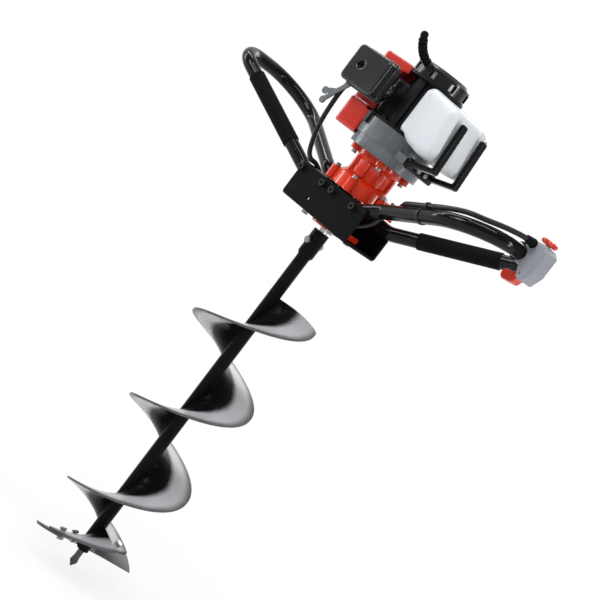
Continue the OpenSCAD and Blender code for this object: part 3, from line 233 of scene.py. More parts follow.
def painted_sheen_band(tree, where, tone):
    """How strong the painted reflection band is, with a ragged border."""
    flat = add_node(tree, "ShaderNodeVectorMath", "MULTIPLY")
    flat.inputs[1].default_value = (1, 1, 0)
    radius = add_node(tree, "ShaderNodeVectorMath", "LENGTH")
    tree.links.new(where, flat.inputs[0])
    tree.links.new(flat.outputs["Vector"], radius.inputs[0])
    ragged = math_node(tree, "MULTIPLY_ADD", tone, BAND_RAGGED, radius.outputs["Value"])
    rise = ranged(tree, ragged, *BAND_RISE, 0, 1, smooth=True)
    fall = ranged(tree, ragged, *BAND_FALL, 1, BAND_EDGE_SHARE, smooth=True)
    return math_node(tree, "MULTIPLY", rise, fall)


SCATTER_DEPTH = 0.012


def finish(name, low, high, rough, metal=0.0, fine=420.0, bump=0.1, depth=0.0002, worn=None, worn_cover=0.62,
           stretch=(1.0, 1.0, 0.08), coat=0.0, coat_rough=0.05, specular=0.5, scatter=0.0, with_sheen_band=False):
    """A material whose colour runs from low to high and whose roughness runs over rough.

    worn is the colour of its rubbed marks, and the band switch adds the bit's painted reflection: a lighter
    band by distance from the axis."""
    material = bpy.data.materials.new(name)
    material.use_nodes = True
    tree = material.node_tree
    link = tree.links.new
    shader = set_inputs(tree.nodes["Principled BSDF"], dict(
        Metallic=metal, Specular_IOR_Level=specular, Coat_Weight=coat, Coat_Roughness=coat_rough))
    if scatter:
        set_inputs(shader, dict(Subsurface_Weight=scatter, Subsurface_Radius=[SCATTER_DEPTH] * 3))
    where = tree.nodes.new("ShaderNodeTexCoord").outputs["Object"]
    skin = placed_group(tree, MOTTLE, where, Fine_Scale=fine)
    tone = skin.outputs["Tone"]
    shown = mixed_colour(tree, tone, low, high)
    if worn:
        marks = placed_group(tree, SCUFFS, where, Cover=worn_cover, Stretch=stretch)
        shown = mixed_colour(tree, marks.outputs["Mask"], shown, worn)
    # Painted reflection: a lighter, more metallic band on the flights that stands for a lamp's sheen
    if with_sheen_band:
        band = painted_sheen_band(tree, where, tone)
        shown = mixed_colour(tree, band, shown, SHEEN_BAND_COLOUR)
        link(ranged(tree, band, 0, 1, metal, SHEEN_BAND_METAL), shader.inputs["Metallic"])
    relief = add_node(tree, "ShaderNodeBump", Strength=bump, Distance=depth)
    link(shown, shader.inputs["Base Color"])
    link(ranged(tree, tone, 0, 1, *rough), shader.inputs["Roughness"])
    link(skin.outputs["Height"], relief.inputs["Height"])
    link(relief.outputs["Normal"], shader.inputs["Normal"])
    return material


# Each finish: its darkest and lightest colour, its range of roughness, and what differs from plain paint
LOOKS = {
    # bit_black carries the painted reflection band on its flights
    "bit_black": dict(
        low=(0.003, 0.0033, 0.0036), high=(0.0065, 0.0068, 0.0073), rough=(0.18, 0.3), bump=0.06,
        worn=(0.03, 0.03, 0.032), worn_cover=0.66, stretch=(1, 1, 0.2), specular=0.05, with_sheen_band=True),
    "blade_steel": dict(
        low=(0.05, 0.051, 0.054), high=(0.11, 0.112, 0.118), rough=(0.3, 0.44), metal=0.8,
        worn=(0.28, 0.28, 0.29), stretch=(1, 0.1, 1), specular=0.3),
    "gear_steel": dict(
        low=(0.55, 0.55, 0.56), high=(0.66, 0.66, 0.67), rough=(0.22, 0.34), metal=1.0),
    "bolt_steel": dict(
        low=(0.3, 0.3, 0.31), high=(0.44, 0.44, 0.45), rough=(0.25, 0.4), metal=1.0),
    "bracket_black": dict(
        low=(0.003, 0.0034, 0.0038), high=(0.006, 0.0065, 0.0072), rough=(0.42, 0.56), bump=0.25,
        worn=(0.025, 0.025, 0.027), stretch=(0.1, 1, 1), specular=0.05),
    "case_orange": dict(
        low=(0.57, 0.019, 0.003), high=(0.67, 0.034, 0.006), rough=(0.22, 0.32), fine=260, bump=0.2,
        worn=(0.8, 0.12, 0.04), worn_cover=0.68, specular=0.4, coat=0.5, coat_rough=0.06),
    "tube_black": dict(
        low=(0.0035, 0.0038, 0.0042), high=(0.007, 0.0074, 0.008), rough=(0.1, 0.16), bump=0.01,
        worn=(0.03, 0.03, 0.032), worn_cover=0.66, stretch=(0.1, 1, 1), specular=0.12, coat=0.15,
        coat_rough=0.04),
    "grip_rubber": dict(
        low=(0.003, 0.003, 0.0034), high=(0.006, 0.006, 0.0066), rough=(0.55, 0.7), fine=900, bump=0.35,
        specular=0.06),
    "fan_grey": dict(
        low=(0.115, 0.125, 0.137), high=(0.16, 0.172, 0.186), rough=(0.3, 0.42), metal=0.5, fine=520,
        bump=0.2, worn=(0.26, 0.275, 0.295), specular=0.4, coat=0.2, coat_rough=0.15),
    "crankcase_dark": dict(
        low=(0.004, 0.0045, 0.005), high=(0.009, 0.0095, 0.0105), rough=(0.45, 0.6), bump=0.3, specular=0.15),
    "cylinder_alloy": dict(
        low=(0.36, 0.37, 0.38), high=(0.48, 0.49, 0.5), rough=(0.35, 0.5), metal=0.9, bump=0.3),
    "cover_red": dict(
        low=(0.48, 0.014, 0.007), high=(0.57, 0.024, 0.0105), rough=(0.22, 0.34), bump=0.08, specular=0.4,
        coat=0.35, coat_rough=0.08),
    "plug_white": dict(
        low=(0.72, 0.71, 0.68), high=(0.8, 0.79, 0.76), rough=(0.12, 0.2), coat=0.5),
    "muffler_black": dict(
        low=(0.012, 0.011, 0.01), high=(0.03, 0.028, 0.026), rough=(0.55, 0.7), bump=0.4,
        worn=(0.1, 0.055, 0.03), specular=0.3),
    "part_black": dict(
        low=(0.009, 0.0098, 0.011), high=(0.018, 0.0193, 0.0213), rough=(0.3, 0.42), fine=800, bump=0.2,
        specular=0.3),
    "carb_alloy": dict(
        low=(0.36, 0.36, 0.37), high=(0.5, 0.5, 0.51), rough=(0.3, 0.45), metal=0.95, bump=0.2),
    "foam": dict(
        low=(0.04, 0.04, 0.045), high=(0.1, 0.1, 0.11), rough=(0.85, 0.95), fine=1500, bump=0.9,
        depth=0.0006),
    "starter_black": dict(
        low=(0.005, 0.0055, 0.006), high=(0.01, 0.0105, 0.0115), rough=(0.2, 0.32), fine=700, bump=0.12,
        specular=0.45, coat=0.25),
    "rope_cord": dict(
        low=(0.6, 0.59, 0.56), high=(0.78, 0.77, 0.73), rough=(0.7, 0.85), fine=1200, bump=0.6),
    "tank_white": dict(
        low=(0.63, 0.66, 0.7), high=(0.71, 0.735, 0.77), rough=(0.28, 0.4), fine=300, bump=0.05,
        scatter=0.25),
    "throttle_grey": dict(
        low=(0.23, 0.245, 0.275), high=(0.3, 0.315, 0.345), rough=(0.32, 0.45), fine=700, bump=0.2,
        specular=0.45),
    "control_red": dict(
        low=(0.54, 0.024, 0.009), high=(0.65, 0.039, 0.014), rough=(0.22, 0.34), bump=0.1, specular=0.45,
        coat=0.3),
    "cleaner_gloss": dict(
        low=(0.011, 0.012, 0.0135), high=(0.02, 0.0214, 0.0236), rough=(0.2, 0.28), fine=800, bump=0.1,
        specular=0.4, coat=0.4, coat_rough=0.1),
    "bulb_smoke": dict(
        low=(0.02, 0.021, 0.023), high=(0.05, 0.052, 0.056), rough=(0.08, 0.16), bump=0.03, specular=0.6,
        coat=1.0, coat_rough=0.03),
}
FINISHES = {name: finish(name, **look) for name, look in LOOKS.items()}

# Helpers for pieces
JOIN_DISTANCE = 2e-6
FLAT_ANGLE = math.radians(0.4)
SHARP_ANGLE = 35.0
EDGE_SEGMENTS = 2
replaced = set()


def add_piece(name, mesh):
    piece = bpy.data.objects.new(name, mesh)
    scene.collection.objects.link(piece)
    return piece


def take_in(pieces):
    """Turns the modifiers of the pieces into plain meshes in one pass."""
    bpy.context.view_layer.update()
    graph = bpy.context.evaluated_depsgraph_get()
    meshes = [bpy.data.meshes.new_from_object(piece.evaluated_get(graph)) for piece in pieces]
    for piece, mesh in zip(pieces, meshes):
        piece.modifiers.clear()
        piece.data = mesh


def paint(piece, look):
    piece.data.materials.clear()
    piece.data.materials.append(FINISHES[look])


def settle(piece, body, slot, *hidden, look=None):
    """Rides a finished piece on its body with its finish, in place of the nodes that it stands for."""
    paint(piece, look or slot)
    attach(piece, body)
    if hidden:
        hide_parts(*hidden)
        replaced.update(hidden)


def merged_copy(name, node):
    """A new piece with a node's mesh, its loose triangles joined."""
    mesh = nodes[node].data.copy()
    work = bmesh.new()
    work.from_mesh(mesh)
    bmesh.ops.remove_doubles(work, verts=work.verts, dist=JOIN_DISTANCE)
    bmesh.ops.dissolve_limit(work, angle_limit=FLAT_ANGLE, verts=work.verts, edges=work.edges)
    work.to_mesh(mesh)
    work.free()
    return add_piece(name, mesh)


def soft_edges(piece, edge, sharp=SHARP_ANGLE):
    """Shades a piece smooth between its hard edges and bevels those."""
    piece.data.shade_smooth()
    piece.data.set_sharp_from_angle(angle=math.radians(sharp))
    soft = piece.modifiers.new("edge", "BEVEL")
    soft.width = edge
    soft.segments = EDGE_SEGMENTS
    soft.limit_method = "ANGLE"
    soft.angle_limit = math.radians(sharp)
    soft.harden_normals = True
    return piece


def soften(piece, edge, sharp=SHARP_ANGLE):
    """Soft edges taken into the mesh at once."""
    take_in([soft_edges(piece, edge, sharp)])
    return piece


place_camera()
for node in nodes:
    paint(nodes[node], slot_of_node[node])

# Stage: a white sweep behind the object, a dim room on the camera's side, a floor that keeps a soft shadow
SWEEP_SIDE = (-0.663, 0.748, 0.0)
SWEEP_BORDER = (-0.15, 0.5)
ROOM_GLOW = 0.12
SKY_LIGHT = 0.35
FLOOR_REACH = 12
FLOOR_DROP = 0.001
FLOOR_PAPER = (0.9, 0.9, 0.9, 1)
SHADOW_REACH = (0.1, 0.9)
SHADOW_GLOW = 0.8


def straight_rays(tree, path):
    """1 for rays that see the background straight or through glass."""
    return math_node(tree, "MAXIMUM", path.outputs["Is Camera Ray"], path.outputs["Is Transmission Ray"])


def build_backdrop():
    """White to straight rays, sweep and room to mirrored rays, and an even sky to all others."""
    world = bpy.data.worlds.new("white_studio")
    scene.world = world
    world.use_nodes = True
    tree = world.node_tree
    tree.nodes.clear()
    link = tree.links.new
    out = add_node(tree, "ShaderNodeOutputWorld")
    backdrop = add_node(tree, "ShaderNodeBackground", Color=(1, 1, 1, 1))
    where = add_node(tree, "ShaderNodeTexCoord")
    path = add_node(tree, "ShaderNodeLightPath")
    facing = add_node(tree, "ShaderNodeVectorMath", "DOT_PRODUCT")
    facing.inputs[1].default_value = SWEEP_SIDE
    mirrored = add_node(tree, "ShaderNodeMix")
    mirrored.inputs[2].default_value = SKY_LIGHT
    straight = add_node(tree, "ShaderNodeMix")
    straight.inputs[3].default_value = 1.0
    link(where.outputs["Generated"], facing.inputs[0])
    sweep = ranged(tree, facing.outputs["Value"], *SWEEP_BORDER, ROOM_GLOW, 1, smooth=True)
    link(path.outputs["Is Glossy Ray"], mirrored.inputs[0])
    link(sweep, mirrored.inputs[3])
    link(straight_rays(tree, path), straight.inputs[0])
    link(mirrored.outputs[0], straight.inputs[2])
    link(straight.outputs[0], backdrop.inputs["Strength"])
    link(backdrop.outputs[0], out.inputs["Surface"])


def pale_floor_paint():
    """White to the rays that show the background, but less so near the bit, where the shadow stays."""
    material = bpy.data.materials.new("pale_floor")
    material.use_nodes = True
    tree = material.node_tree
    tree.nodes.clear()
    link = tree.links.new
    out = add_node(tree, "ShaderNodeOutputMaterial")
    paper = add_node(tree, "ShaderNodeBsdfDiffuse", Color=FLOOR_PAPER)
    glow = add_node(tree, "ShaderNodeEmission")
    where = add_node(tree, "ShaderNodeTexCoord")
    path = add_node(tree, "ShaderNodeLightPath")
    away = add_node(tree, "ShaderNodeVectorMath", "LENGTH")
    mix = add_node(tree, "ShaderNodeMixShader")
    link(where.outputs["Object"], away.inputs[0])
    fade = ranged(tree, away.outputs["Value"], *SHADOW_REACH, SHADOW_GLOW, 1, smooth=True)
    seen = math_node(tree, "MAXIMUM", straight_rays(tree, path), path.outputs["Is Glossy Ray"])
    link(math_node(tree, "MULTIPLY", seen, fade), mix.inputs[0])
    link(paper.outputs[0], mix.inputs[1])
    link(glow.outputs[0], mix.inputs[2])
    link(mix.outputs[0], out.inputs["Surface"])
    return material


def build_floor():
    mesh = bpy.data.meshes.new("floor")
    corners = [(x * FLOOR_REACH, y * FLOOR_REACH, 0) for x, y in ((-1, -1), (1, -1), (1, 1), (-1, 1))]
    mesh.from_pydata(corners, [], [(0, 1, 2, 3)])
    mesh.materials.append(pale_floor_paint())
    floor = add_piece("floor", mesh)
    floor.location.z = -FLOOR_DROP


# Large soft lamps: place, height on the bit's axis that they face, width and length, watts
LAMPS = {
    "key_box": ((-0.9, -2.7, 2.4), 0.8, (1.3, 1.3), 42),
    "right_strip": ((2.5, 0.5, 1.3), 0.7, (0.2, 2.0), 28),
    "left_strip": ((-2.4, -1.2, 1.2), 0.6, (0.2, 2.0), 18),
    "top_strip": ((0.4, -0.9, 3.0), 0.9, (2.0, 0.25), 24),
    "edge_strip": ((-1.7, -0.34, 2.9), 1.0, (0.25, 1.6), 17),
    "back_box": ((-0.8, 2.6, 1.8), 0.7, (1.6, 1.6), 22),
}


def soft_light(name, place, height, size, power):
    lamp = bpy.data.lights.new(name, "AREA")
    lamp.shape = "RECTANGLE"
    lamp.size, lamp.size_y = size
    lamp.energy = power
    lit = bpy.data.objects.new(name, lamp)
    scene.collection.objects.link(lit)
    lit.location = place
    lit.rotation_euler = (Vector((0, 0, height)) - Vector(place)).to_track_quat("-Z", "Y").to_euler()


build_backdrop()
build_floor()
for name, setting in LAMPS.items():
    soft_light(name, *setting)


# Geometry Nodes: trees that end in a plain, painted mesh
def new_tree(name, inputs):
    return new_group(name, "GeometryNodeTree", inputs + [("Material", MATERIAL, None)], [("Geometry", SHAPE)])


def end_tree(tree, entry, leave, geometry):
    real = tree.nodes.new("GeometryNodeRealizeInstances")
    painted = tree.nodes.new("GeometryNodeSetMaterial")
    tree.links.new(geometry, real.inputs["Geometry"])
    tree.links.new(real.outputs["Geometry"], painted.inputs["Geometry"])
    tree.links.new(entry.outputs["Material"], painted.inputs["Material"])
    tree.links.new(painted.outputs["Geometry"], leave.inputs["Geometry"])
    return tree


def grow(name, tree, look, mesh=None, **values):
    """A piece made by a tree with the given inputs, as a plain mesh."""
    piece = add_piece(name, mesh or bpy.data.meshes.new(name))
    rule = piece.modifiers.new("rule", "NODES")
    rule.node_group = tree
    keys = {item.name: item.identifier for item in tree.interface.items_tree if item.in_out == "INPUT"}
    for label, value in values.items():
        rule[keys[label.replace("_", " ")]] = value
    rule[keys["Material"]] = FINISHES[look]
    take_in([piece])
    return piece


# The bit: both flights, both blades and the welds follow one screw
SHAFT_RADIUS = 0.012
SEAT_GAP = 0.0002
PITCH = 0.189
START = math.radians(88)
FLIGHT_RADIUS = 0.1
FLIGHT_THICKNESS = 0.004
FLIGHT_MIDDLE = 0.058
FLIGHT_TOP = FLIGHT_MIDDLE + FLIGHT_THICKNESS / 2
FLIGHT_BOTTOM = FLIGHT_MIDDLE - FLIGHT_THICKNESS / 2
FLIGHT_TURN = 2.93 * FULL_TURN
FLIGHT_STEPS = 420
FLIGHT_EDGE = 0.0008
FLIGHT_ROUND_SHARE = 0.021
ROUND_END = 0.94
STUB_TURN = math.radians(75)
STUB_STEPS = 22
BLADE_RADIUS = 0.102
BLADE_THICKNESS = 0.005
BLADE_CUTTING_EDGE = 0.0012
BLADE_BEVEL_SHARE = 0.111
BLADE_LEAD = math.radians(24)
BLADE_LAP = math.radians(20)
BLADE_STEPS = 19
BLADE_EDGE = 0.0004
BLADE_SHARP_ANGLE = 25
WELD_RADIUS = 0.0128
WELD_OFF = 0.0005
WELD_CLEAR = 0.05
FLIGHT_DROPS = 300
STUB_DROPS = 24
DROP_RADIUS = 0.0022
DROP_SIZES = (0.85, 1.1)
DROP_SEED = 7
SCREW_INPUTS = [("Start Angle", FLOAT, START), ("Pitch", FLOAT, PITCH), ("Height", FLOAT, FLIGHT_TOP),
                ("From", FLOAT, 0.0), ("To", FLOAT, 1.0), ("Inner Radius", FLOAT, SHAFT_RADIUS + SEAT_GAP)]


def wound(tree, entry, angle, radius, height):
    """A point wound round Z: its angle from the start, its radius, its height over the screw's own rise."""
    turned = math_node(tree, "ADD", angle, entry.outputs["Start Angle"])
    rise = math_node(tree, "MULTIPLY", angle, math_node(tree, "DIVIDE", entry.outputs["Pitch"], FULL_TURN))
    lifted = math_node(tree, "ADD", rise, height)
    place = tree.nodes.new("ShaderNodeCombineXYZ")
    link = tree.links.new
    link(math_node(tree, "MULTIPLY", radius, math_node(tree, "COSINE", turned)), place.inputs["X"])
    link(math_node(tree, "MULTIPLY", radius, math_node(tree, "SINE", turned)), place.inputs["Y"])
    link(math_node(tree, "ADD", lifted, entry.outputs["Height"]), place.inputs["Z"])
    return place.outputs["Vector"]


def screw_plate_tree():
    """A plate wound into a screw: a flat block whose length turns and whose width is the radius.

    It is thinned at its start, and the outer corner of its end is rounded."""
    tree, entry, leave = new_tree("screw_plate", SCREW_INPUTS + [
        ("Outer Radius", FLOAT, FLIGHT_RADIUS), ("Thickness", FLOAT, FLIGHT_THICKNESS),
        ("Edge Thickness", FLOAT, FLIGHT_THICKNESS), ("Edge Share", FLOAT, 0.1), ("Round Share", FLOAT, 0.0),
        ("Steps", COUNT, FLIGHT_STEPS), ("Rings", COUNT, 12)])
    given = entry.outputs
    block = add_node(tree, "GeometryNodeMeshCube", Size=(1, 1, 1), Vertices_Z=2)
    tree.links.new(given["Steps"], block.inputs["Vertices X"])
    tree.links.new(given["Rings"], block.inputs["Vertices Y"])
    split = tree.nodes.new("ShaderNodeSeparateXYZ")
    tree.links.new(tree.nodes.new("GeometryNodeInputPosition").outputs[0], split.inputs[0])
    share = math_node(tree, "ADD", split.outputs["X"], 0.5)
    angle = ranged(tree, share, 0, 1, given["From"], given["To"])
    round_start = math_node(tree, "SUBTRACT", 1.0, given["Round Share"])
    late = ranged(tree, share, round_start, 1, 0, ROUND_END)
    reach = math_node(tree, "SQRT", math_node(tree, "SUBTRACT", 1.0, math_node(tree, "MULTIPLY", late, late)))
    outer = ranged(tree, reach, 0, 1, given["Inner Radius"], given["Outer Radius"])
    radius = ranged(tree, split.outputs["Y"], -0.5, 0.5, given["Inner Radius"], outer)
    thick = ranged(tree, share, 0, given["Edge Share"], given["Edge Thickness"], given["Thickness"])
    depth = math_node(tree, "MULTIPLY", math_node(tree, "SUBTRACT", split.outputs["Z"], 0.5), thick)
    move = tree.nodes.new("GeometryNodeSetPosition")
    flip = tree.nodes.new("GeometryNodeFlipFaces")
    tree.links.new(block.outputs["Mesh"], move.inputs["Geometry"])
    tree.links.new(wound(tree, entry, angle, radius, depth), move.inputs["Position"])
    tree.links.new(move.outputs["Geometry"], flip.inputs["Mesh"])
    return end_tree(tree, entry, leave, flip.outputs["Mesh"])


def weld_bead_tree():
    """Overlapping drops of weld along the root of a screw."""
    tree, entry, leave = new_tree("weld_bead", SCREW_INPUTS + [
        ("Drops", COUNT, FLIGHT_DROPS), ("Drop Radius", FLOAT, DROP_RADIUS)])
    given = entry.outputs
    link = tree.links.new
    row = tree.nodes.new("GeometryNodeMeshLine")
    link(given["Drops"], row.inputs["Count"])
    index = tree.nodes.new("GeometryNodeInputIndex").outputs[0]
    share = math_node(tree, "DIVIDE", index, given["Drops"])
    angle = ranged(tree, share, 0, 1, given["From"], given["To"])
    move = tree.nodes.new("GeometryNodeSetPosition")
    link(row.outputs["Mesh"], move.inputs["Geometry"])
    link(wound(tree, entry, angle, given["Inner Radius"], 0.0), move.inputs["Position"])
    drop = add_node(tree, "GeometryNodeMeshUVSphere", Segments=10, Rings=7)
    link(given["Drop Radius"], drop.inputs["Radius"])
    size = add_node(tree, "FunctionNodeRandomValue", Seed=DROP_SEED)
    size.inputs[2].default_value, size.inputs[3].default_value = DROP_SIZES
    drops = tree.nodes.new("GeometryNodeInstanceOnPoints")
    link(move.outputs["Geometry"], drops.inputs["Points"])
    link(drop.outputs["Mesh"], drops.inputs["Instance"])
    link(size.outputs[1], drops.inputs["Scale"])
    real = tree.nodes.new("GeometryNodeRealizeInstances")
    smooth = tree.nodes.new("GeometryNodeSetShadeSmooth")
    link(drops.outputs["Instances"], real.inputs["Geometry"])
    link(real.outputs["Geometry"], smooth.inputs["Geometry"])
    return end_tree(tree, entry, leave, smooth.outputs["Geometry"])


SCREW = screw_plate_tree()
BEAD = weld_bead_tree()


def cutter_blade_pair():
    """Both blades under the flights' lower ends, half a turn apart, in one mesh."""
    joined = bmesh.new()
    for turn in (0, math.pi):
        blade = grow("cutter_blade", SCREW, "blade_steel", Start_Angle=START + turn,
                     Height=FLIGHT_BOTTOM - SEAT_GAP, From=-BLADE_LEAD, To=BLADE_LAP, Steps=BLADE_STEPS,
                     Outer_Radius=BLADE_RADIUS, Thickness=BLADE_THICKNESS,
                     Edge_Thickness=BLADE_CUTTING_EDGE, Edge_Share=BLADE_BEVEL_SHARE)
        joined.from_mesh(blade.data)
        bpy.data.objects.remove(blade)
    mesh = bpy.data.meshes.new("cutter_blade_pair")
    joined.to_mesh(mesh)
    joined.free()
    return add_piece("cutter_blade_pair", mesh)


flight = grow("flight_screw", SCREW, "bit_black", To=FLIGHT_TURN, Steps=FLIGHT_STEPS,
              Round_Share=FLIGHT_ROUND_SHARE)
settle(soften(flight, FLIGHT_EDGE), "bit", "bit_black", "auger_flight")
stub = grow("stub_screw", SCREW, "bit_black", Start_Angle=START + math.pi, To=STUB_TURN, Steps=STUB_STEPS)
settle(soften(stub, FLIGHT_EDGE), "bit", "bit_black", "stub_flight")
settle(soften(cutter_blade_pair(), BLADE_EDGE, BLADE_SHARP_ANGLE), "bit", "blade_steel", "cutter_blades")
for name, start, height, reach, drops in (
        ("weld_upper", START, FLIGHT_TOP + WELD_OFF, FLIGHT_TURN, FLIGHT_DROPS),
        ("weld_lower", START, FLIGHT_BOTTOM - WELD_OFF, FLIGHT_TURN, FLIGHT_DROPS),
        ("weld_stub", START + math.pi, FLIGHT_TOP + WELD_OFF, STUB_TURN, STUB_DROPS)):
    weld = grow(name, BEAD, "bit_black", Start_Angle=start, Height=height, From=WELD_CLEAR,
                To=reach - WELD_CLEAR, Inner_Radius=WELD_RADIUS, Drops=drops)
    settle(weld, "bit", "bit_black")


# Tubes along paths
def tube_tree():
    """A round tube along each line of edges in the mesh that it is put on."""
    tree, entry, leave = new_tree("tube_along", [("Geometry", SHAPE, None), ("Radius", FLOAT, 0.0045),
                                                 ("Sides", COUNT, 20)])
    link = tree.links.new
    path = tree.nodes.new("GeometryNodeMeshToCurve")
    ring = tree.nodes.new("GeometryNodeCurvePrimitiveCircle")
    skin = add_node(tree, "GeometryNodeCurveToMesh", Fill_Caps=True)
    link(entry.outputs["Geometry"], path.inputs["Mesh"])
    link(entry.outputs["Radius"], ring.inputs["Radius"])
    link(entry.outputs["Sides"], ring.inputs["Resolution"])
    link(path.outputs["Curve"], skin.inputs["Curve"])
    link(ring.outputs["Curve"], skin.inputs["Profile Curve"])
    return end_tree(tree, entry, leave, skin.outputs["Mesh"])


TUBE = tube_tree()


def tube_along(name, look, lines, radius, sides):
    """A smooth tube along each of the given lines of points."""
    mesh = bpy.data.meshes.new(name + "_path")
    points, edges = [], []
    for line in lines:
        edges += [(len(points) + i, len(points) + i + 1) for i in range(len(line) - 1)]
        points += line
    mesh.from_pydata(points, edges, [])
    tube = grow(name, TUBE, look, mesh, Radius=radius, Sides=sides)
    tube.data.shade_smooth()
    return tube


def through(points, steps):
    """Points of a smooth curve through the given ones."""
    out = []
    last = len(points) - 1
    for i in range(last):
        a, b, c, d = (Vector(points[max(0, min(last, k))]) for k in (i - 1, i, i + 1, i + 2))
        for k in range(steps):
            t = k / steps
            bend = (2 * a - 5 * b + 4 * c - d) * t * t + (3 * b - a - 3 * c + d) * t * t * t
            out.append(0.5 * (2 * b + (c - a) * t + bend))
    return out + [Vector(points[-1])]


# Throttle cable from the carburettor through the bracket to the right handle, its route in millimetres
LEG_LOW = Vector((112, -29.3, 848))
LEG_HIGH = Vector((352, -108, 930))
CABLE_LIFT = 19
TIE_PLACE = 0.4
CABLE_RADIUS = 0.0045
CABLE_STEPS = 10


def beside_leg(share):
    """A point beside the front leg, at a share of its length."""
    run = LEG_HIGH - LEG_LOW
    lean, turn = math.acos(run.z / run.length), math.atan2(run.y, run.x)
    side = Vector((-math.cos(lean) * math.cos(turn), -math.cos(lean) * math.sin(turn), math.sin(lean)))
    return LEG_LOW + share * run + CABLE_LIFT * side


CABLE = [(-77, -60, 1003), (-98, -60, 996), (-112, -60, 972), (-110, -57, 905), (-100, -50, 860),
         (-92, -42, 843), (-85, -28, 840), (-79, -12, 830), (-72, -11, 812), (-62, -21.7, 797),
         (-46, -36, 794), (0, -36, 794), (46, -36, 794), (68, -21.7, 797), (84, -9, 815), (98, -9, 838),
         (116, -13, 858), (136, -28, 877), beside_leg(0.2), beside_leg(TIE_PLACE), beside_leg(0.58),
         (288, -75, 929), (319, -61, 938), (338, -38, 946), (354, -20, 951), (363, -4, 953), (364, 10.5, 953)]
sheath = [MM * point for point in through(CABLE, CABLE_STEPS)]
cable = tube_along("cable_sheath", "part_black", [sheath], CABLE_RADIUS, sides=20)
settle(cable, "machine", slot_of_node["throttle_cable"], "throttle_cable", look="part_black")

# Starter rope: strands that wind from the housing to the grip's seat
PULL_RISE = math.radians(10)
PULL = Vector((0, -math.cos(PULL_RISE), math.sin(PULL_RISE)))
ROPE_HOLE = Vector((0.012, -0.048, 1.0894))
GRIP_OFF = 0.015
GRIP_SEAT = ROPE_HOLE + GRIP_OFF * PULL
ROPE_SHOWN = 0.012
ROPE_LENGTH = 0.0119
ROPE_STEPS = 40
STRANDS = 3
STRAND_OFFSET = 0.00095
STRAND_RADIUS = 0.00104
STRAND_TURNS = 1.5


def strand(first):
    """One line that winds round the rope's axis from its first angle."""
    side = Vector((1, 0, 0))
    up = PULL.cross(side)
    line = []
    for i in range(ROPE_STEPS + 1):
        share = i / ROPE_STEPS
        angle = first + FULL_TURN * STRAND_TURNS * share
        axis = GRIP_SEAT + PULL * (ROPE_LENGTH * share - ROPE_SHOWN)
        line.append(axis + STRAND_OFFSET * (math.cos(angle) * side + math.sin(angle) * up))
    return line


strand_lines = [strand(FULL_TURN * k / STRANDS) for k in range(STRANDS)]
rope = tube_along("rope_strands", "rope_cord", strand_lines, STRAND_RADIUS, sides=10)
paint(rope, "rope_cord")
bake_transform(rope)
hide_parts("starter_rope")
replaced.add("starter_rope")


# Moulded pieces and bent tubes: the CAD solids with the round corners and bends of the real ones
ROUND_FACTOR = 0.5


def moulded(name, node, cell, rounds, swell=0.0):
    """A node's copy in small cells, smoothed over many rounds; swell gives back the width that was lost."""
    piece = merged_copy(name, node)
    cells = piece.modifiers.new("cells", "REMESH")
    cells.mode = "VOXEL"
    cells.voxel_size = cell
    round_off = piece.modifiers.new("round", "SMOOTH")
    round_off.factor = ROUND_FACTOR
    round_off.iterations = rounds
    if swell:
        fill = piece.modifiers.new("fill", "DISPLACE")
        fill.mid_level = 0.0
        fill.strength = swell
    take_in([piece])
    piece.data.shade_smooth()
    return piece


PRONGS = (-0.033, 0.033)
CHANNEL_HALF = 0.013
CHANNEL_DEPTH = 0.0026
SEAM_HALF = 0.0022
SEAM_HEIGHT = 0.0007


def tank_shell():
    """Blown tank with a channel behind each prong of its guard and a mould line down its middle."""
    tank = moulded("tank_shell", "fuel_tank", cell=0.0016, rounds=8)
    normals = [vertex.normal.copy() for vertex in tank.data.vertices]
    for vertex, normal in zip(tank.data.vertices, normals):
        face = max(0.0, normal.x) ** 2
        for prong in PRONGS:
            near = max(0.0, 1 - abs(vertex.co.y - prong) / CHANNEL_HALF)
            vertex.co.x -= CHANNEL_DEPTH * face * near * near * (3 - 2 * near)
        seam = max(0.0, 1 - abs(vertex.co.y) / SEAM_HALF)
        vertex.co += normal * SEAM_HEIGHT * seam * max(face, max(0.0, normal.z) ** 2)
    return tank


settle(tank_shell(), "machine", "tank_white", "fuel_tank")
for name, node, cell, rounds, swell, look in (
        ("throttle_shell", "throttle_case", 0.0009, 45, 0.0, None),
        ("cover_shell", "cylinder_cover", 0.0014, 26, 0.0, None),
        ("trigger_paddle", "trigger", 0.0008, 12, 0.0, None),
        ("cleaner_shell", "air_cleaner_cover", 0.0008, 40, 0.0, "cleaner_gloss"),
        ("left_tube", "left_handle", 0.0016, 46, 0.0009, "tube_black"),
        ("right_tube", "right_handle", 0.0016, 46, 0.0009, "tube_black"),
        ("guard_bars", "tank_guard", 0.0009, 45, 0.0008, "tube_black")):
    settle(moulded(name, node, cell, rounds, swell), body_of_node[node], slot_of_node[node], node, look=look)

BRIM_RADIUS = 0.0017
BRIM_CORNER = 0.009
BRIM_OFF = 0.0022
BRIM_STEP = 10


def cleaner_brim():
    """Rolled brim round the open end of the air cleaner's cover."""
    low, high = (Vector(corner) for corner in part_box("air_cleaner_cover"))
    left, right = low.x + BRIM_CORNER, high.x - BRIM_CORNER
    bottom, top = low.z + BRIM_CORNER, high.z - BRIM_CORNER
    line = []
    for x, z, first in ((right, top, 0), (left, top, 90), (left, bottom, 180), (right, bottom, 270)):
        for turn in range(first, first + 90 + 1, BRIM_STEP):
            angle = math.radians(turn)
            out, up = BRIM_CORNER * math.cos(angle), BRIM_CORNER * math.sin(angle)
            line.append(Vector((x + out, high.y - BRIM_OFF, z + up)))
    return tube_along("cleaner_brim", "part_black", [line + line[:2]], BRIM_RADIUS, sides=14)


settle(cleaner_brim(), "machine", slot_of_node["air_cleaner_cover"], look="cleaner_gloss")


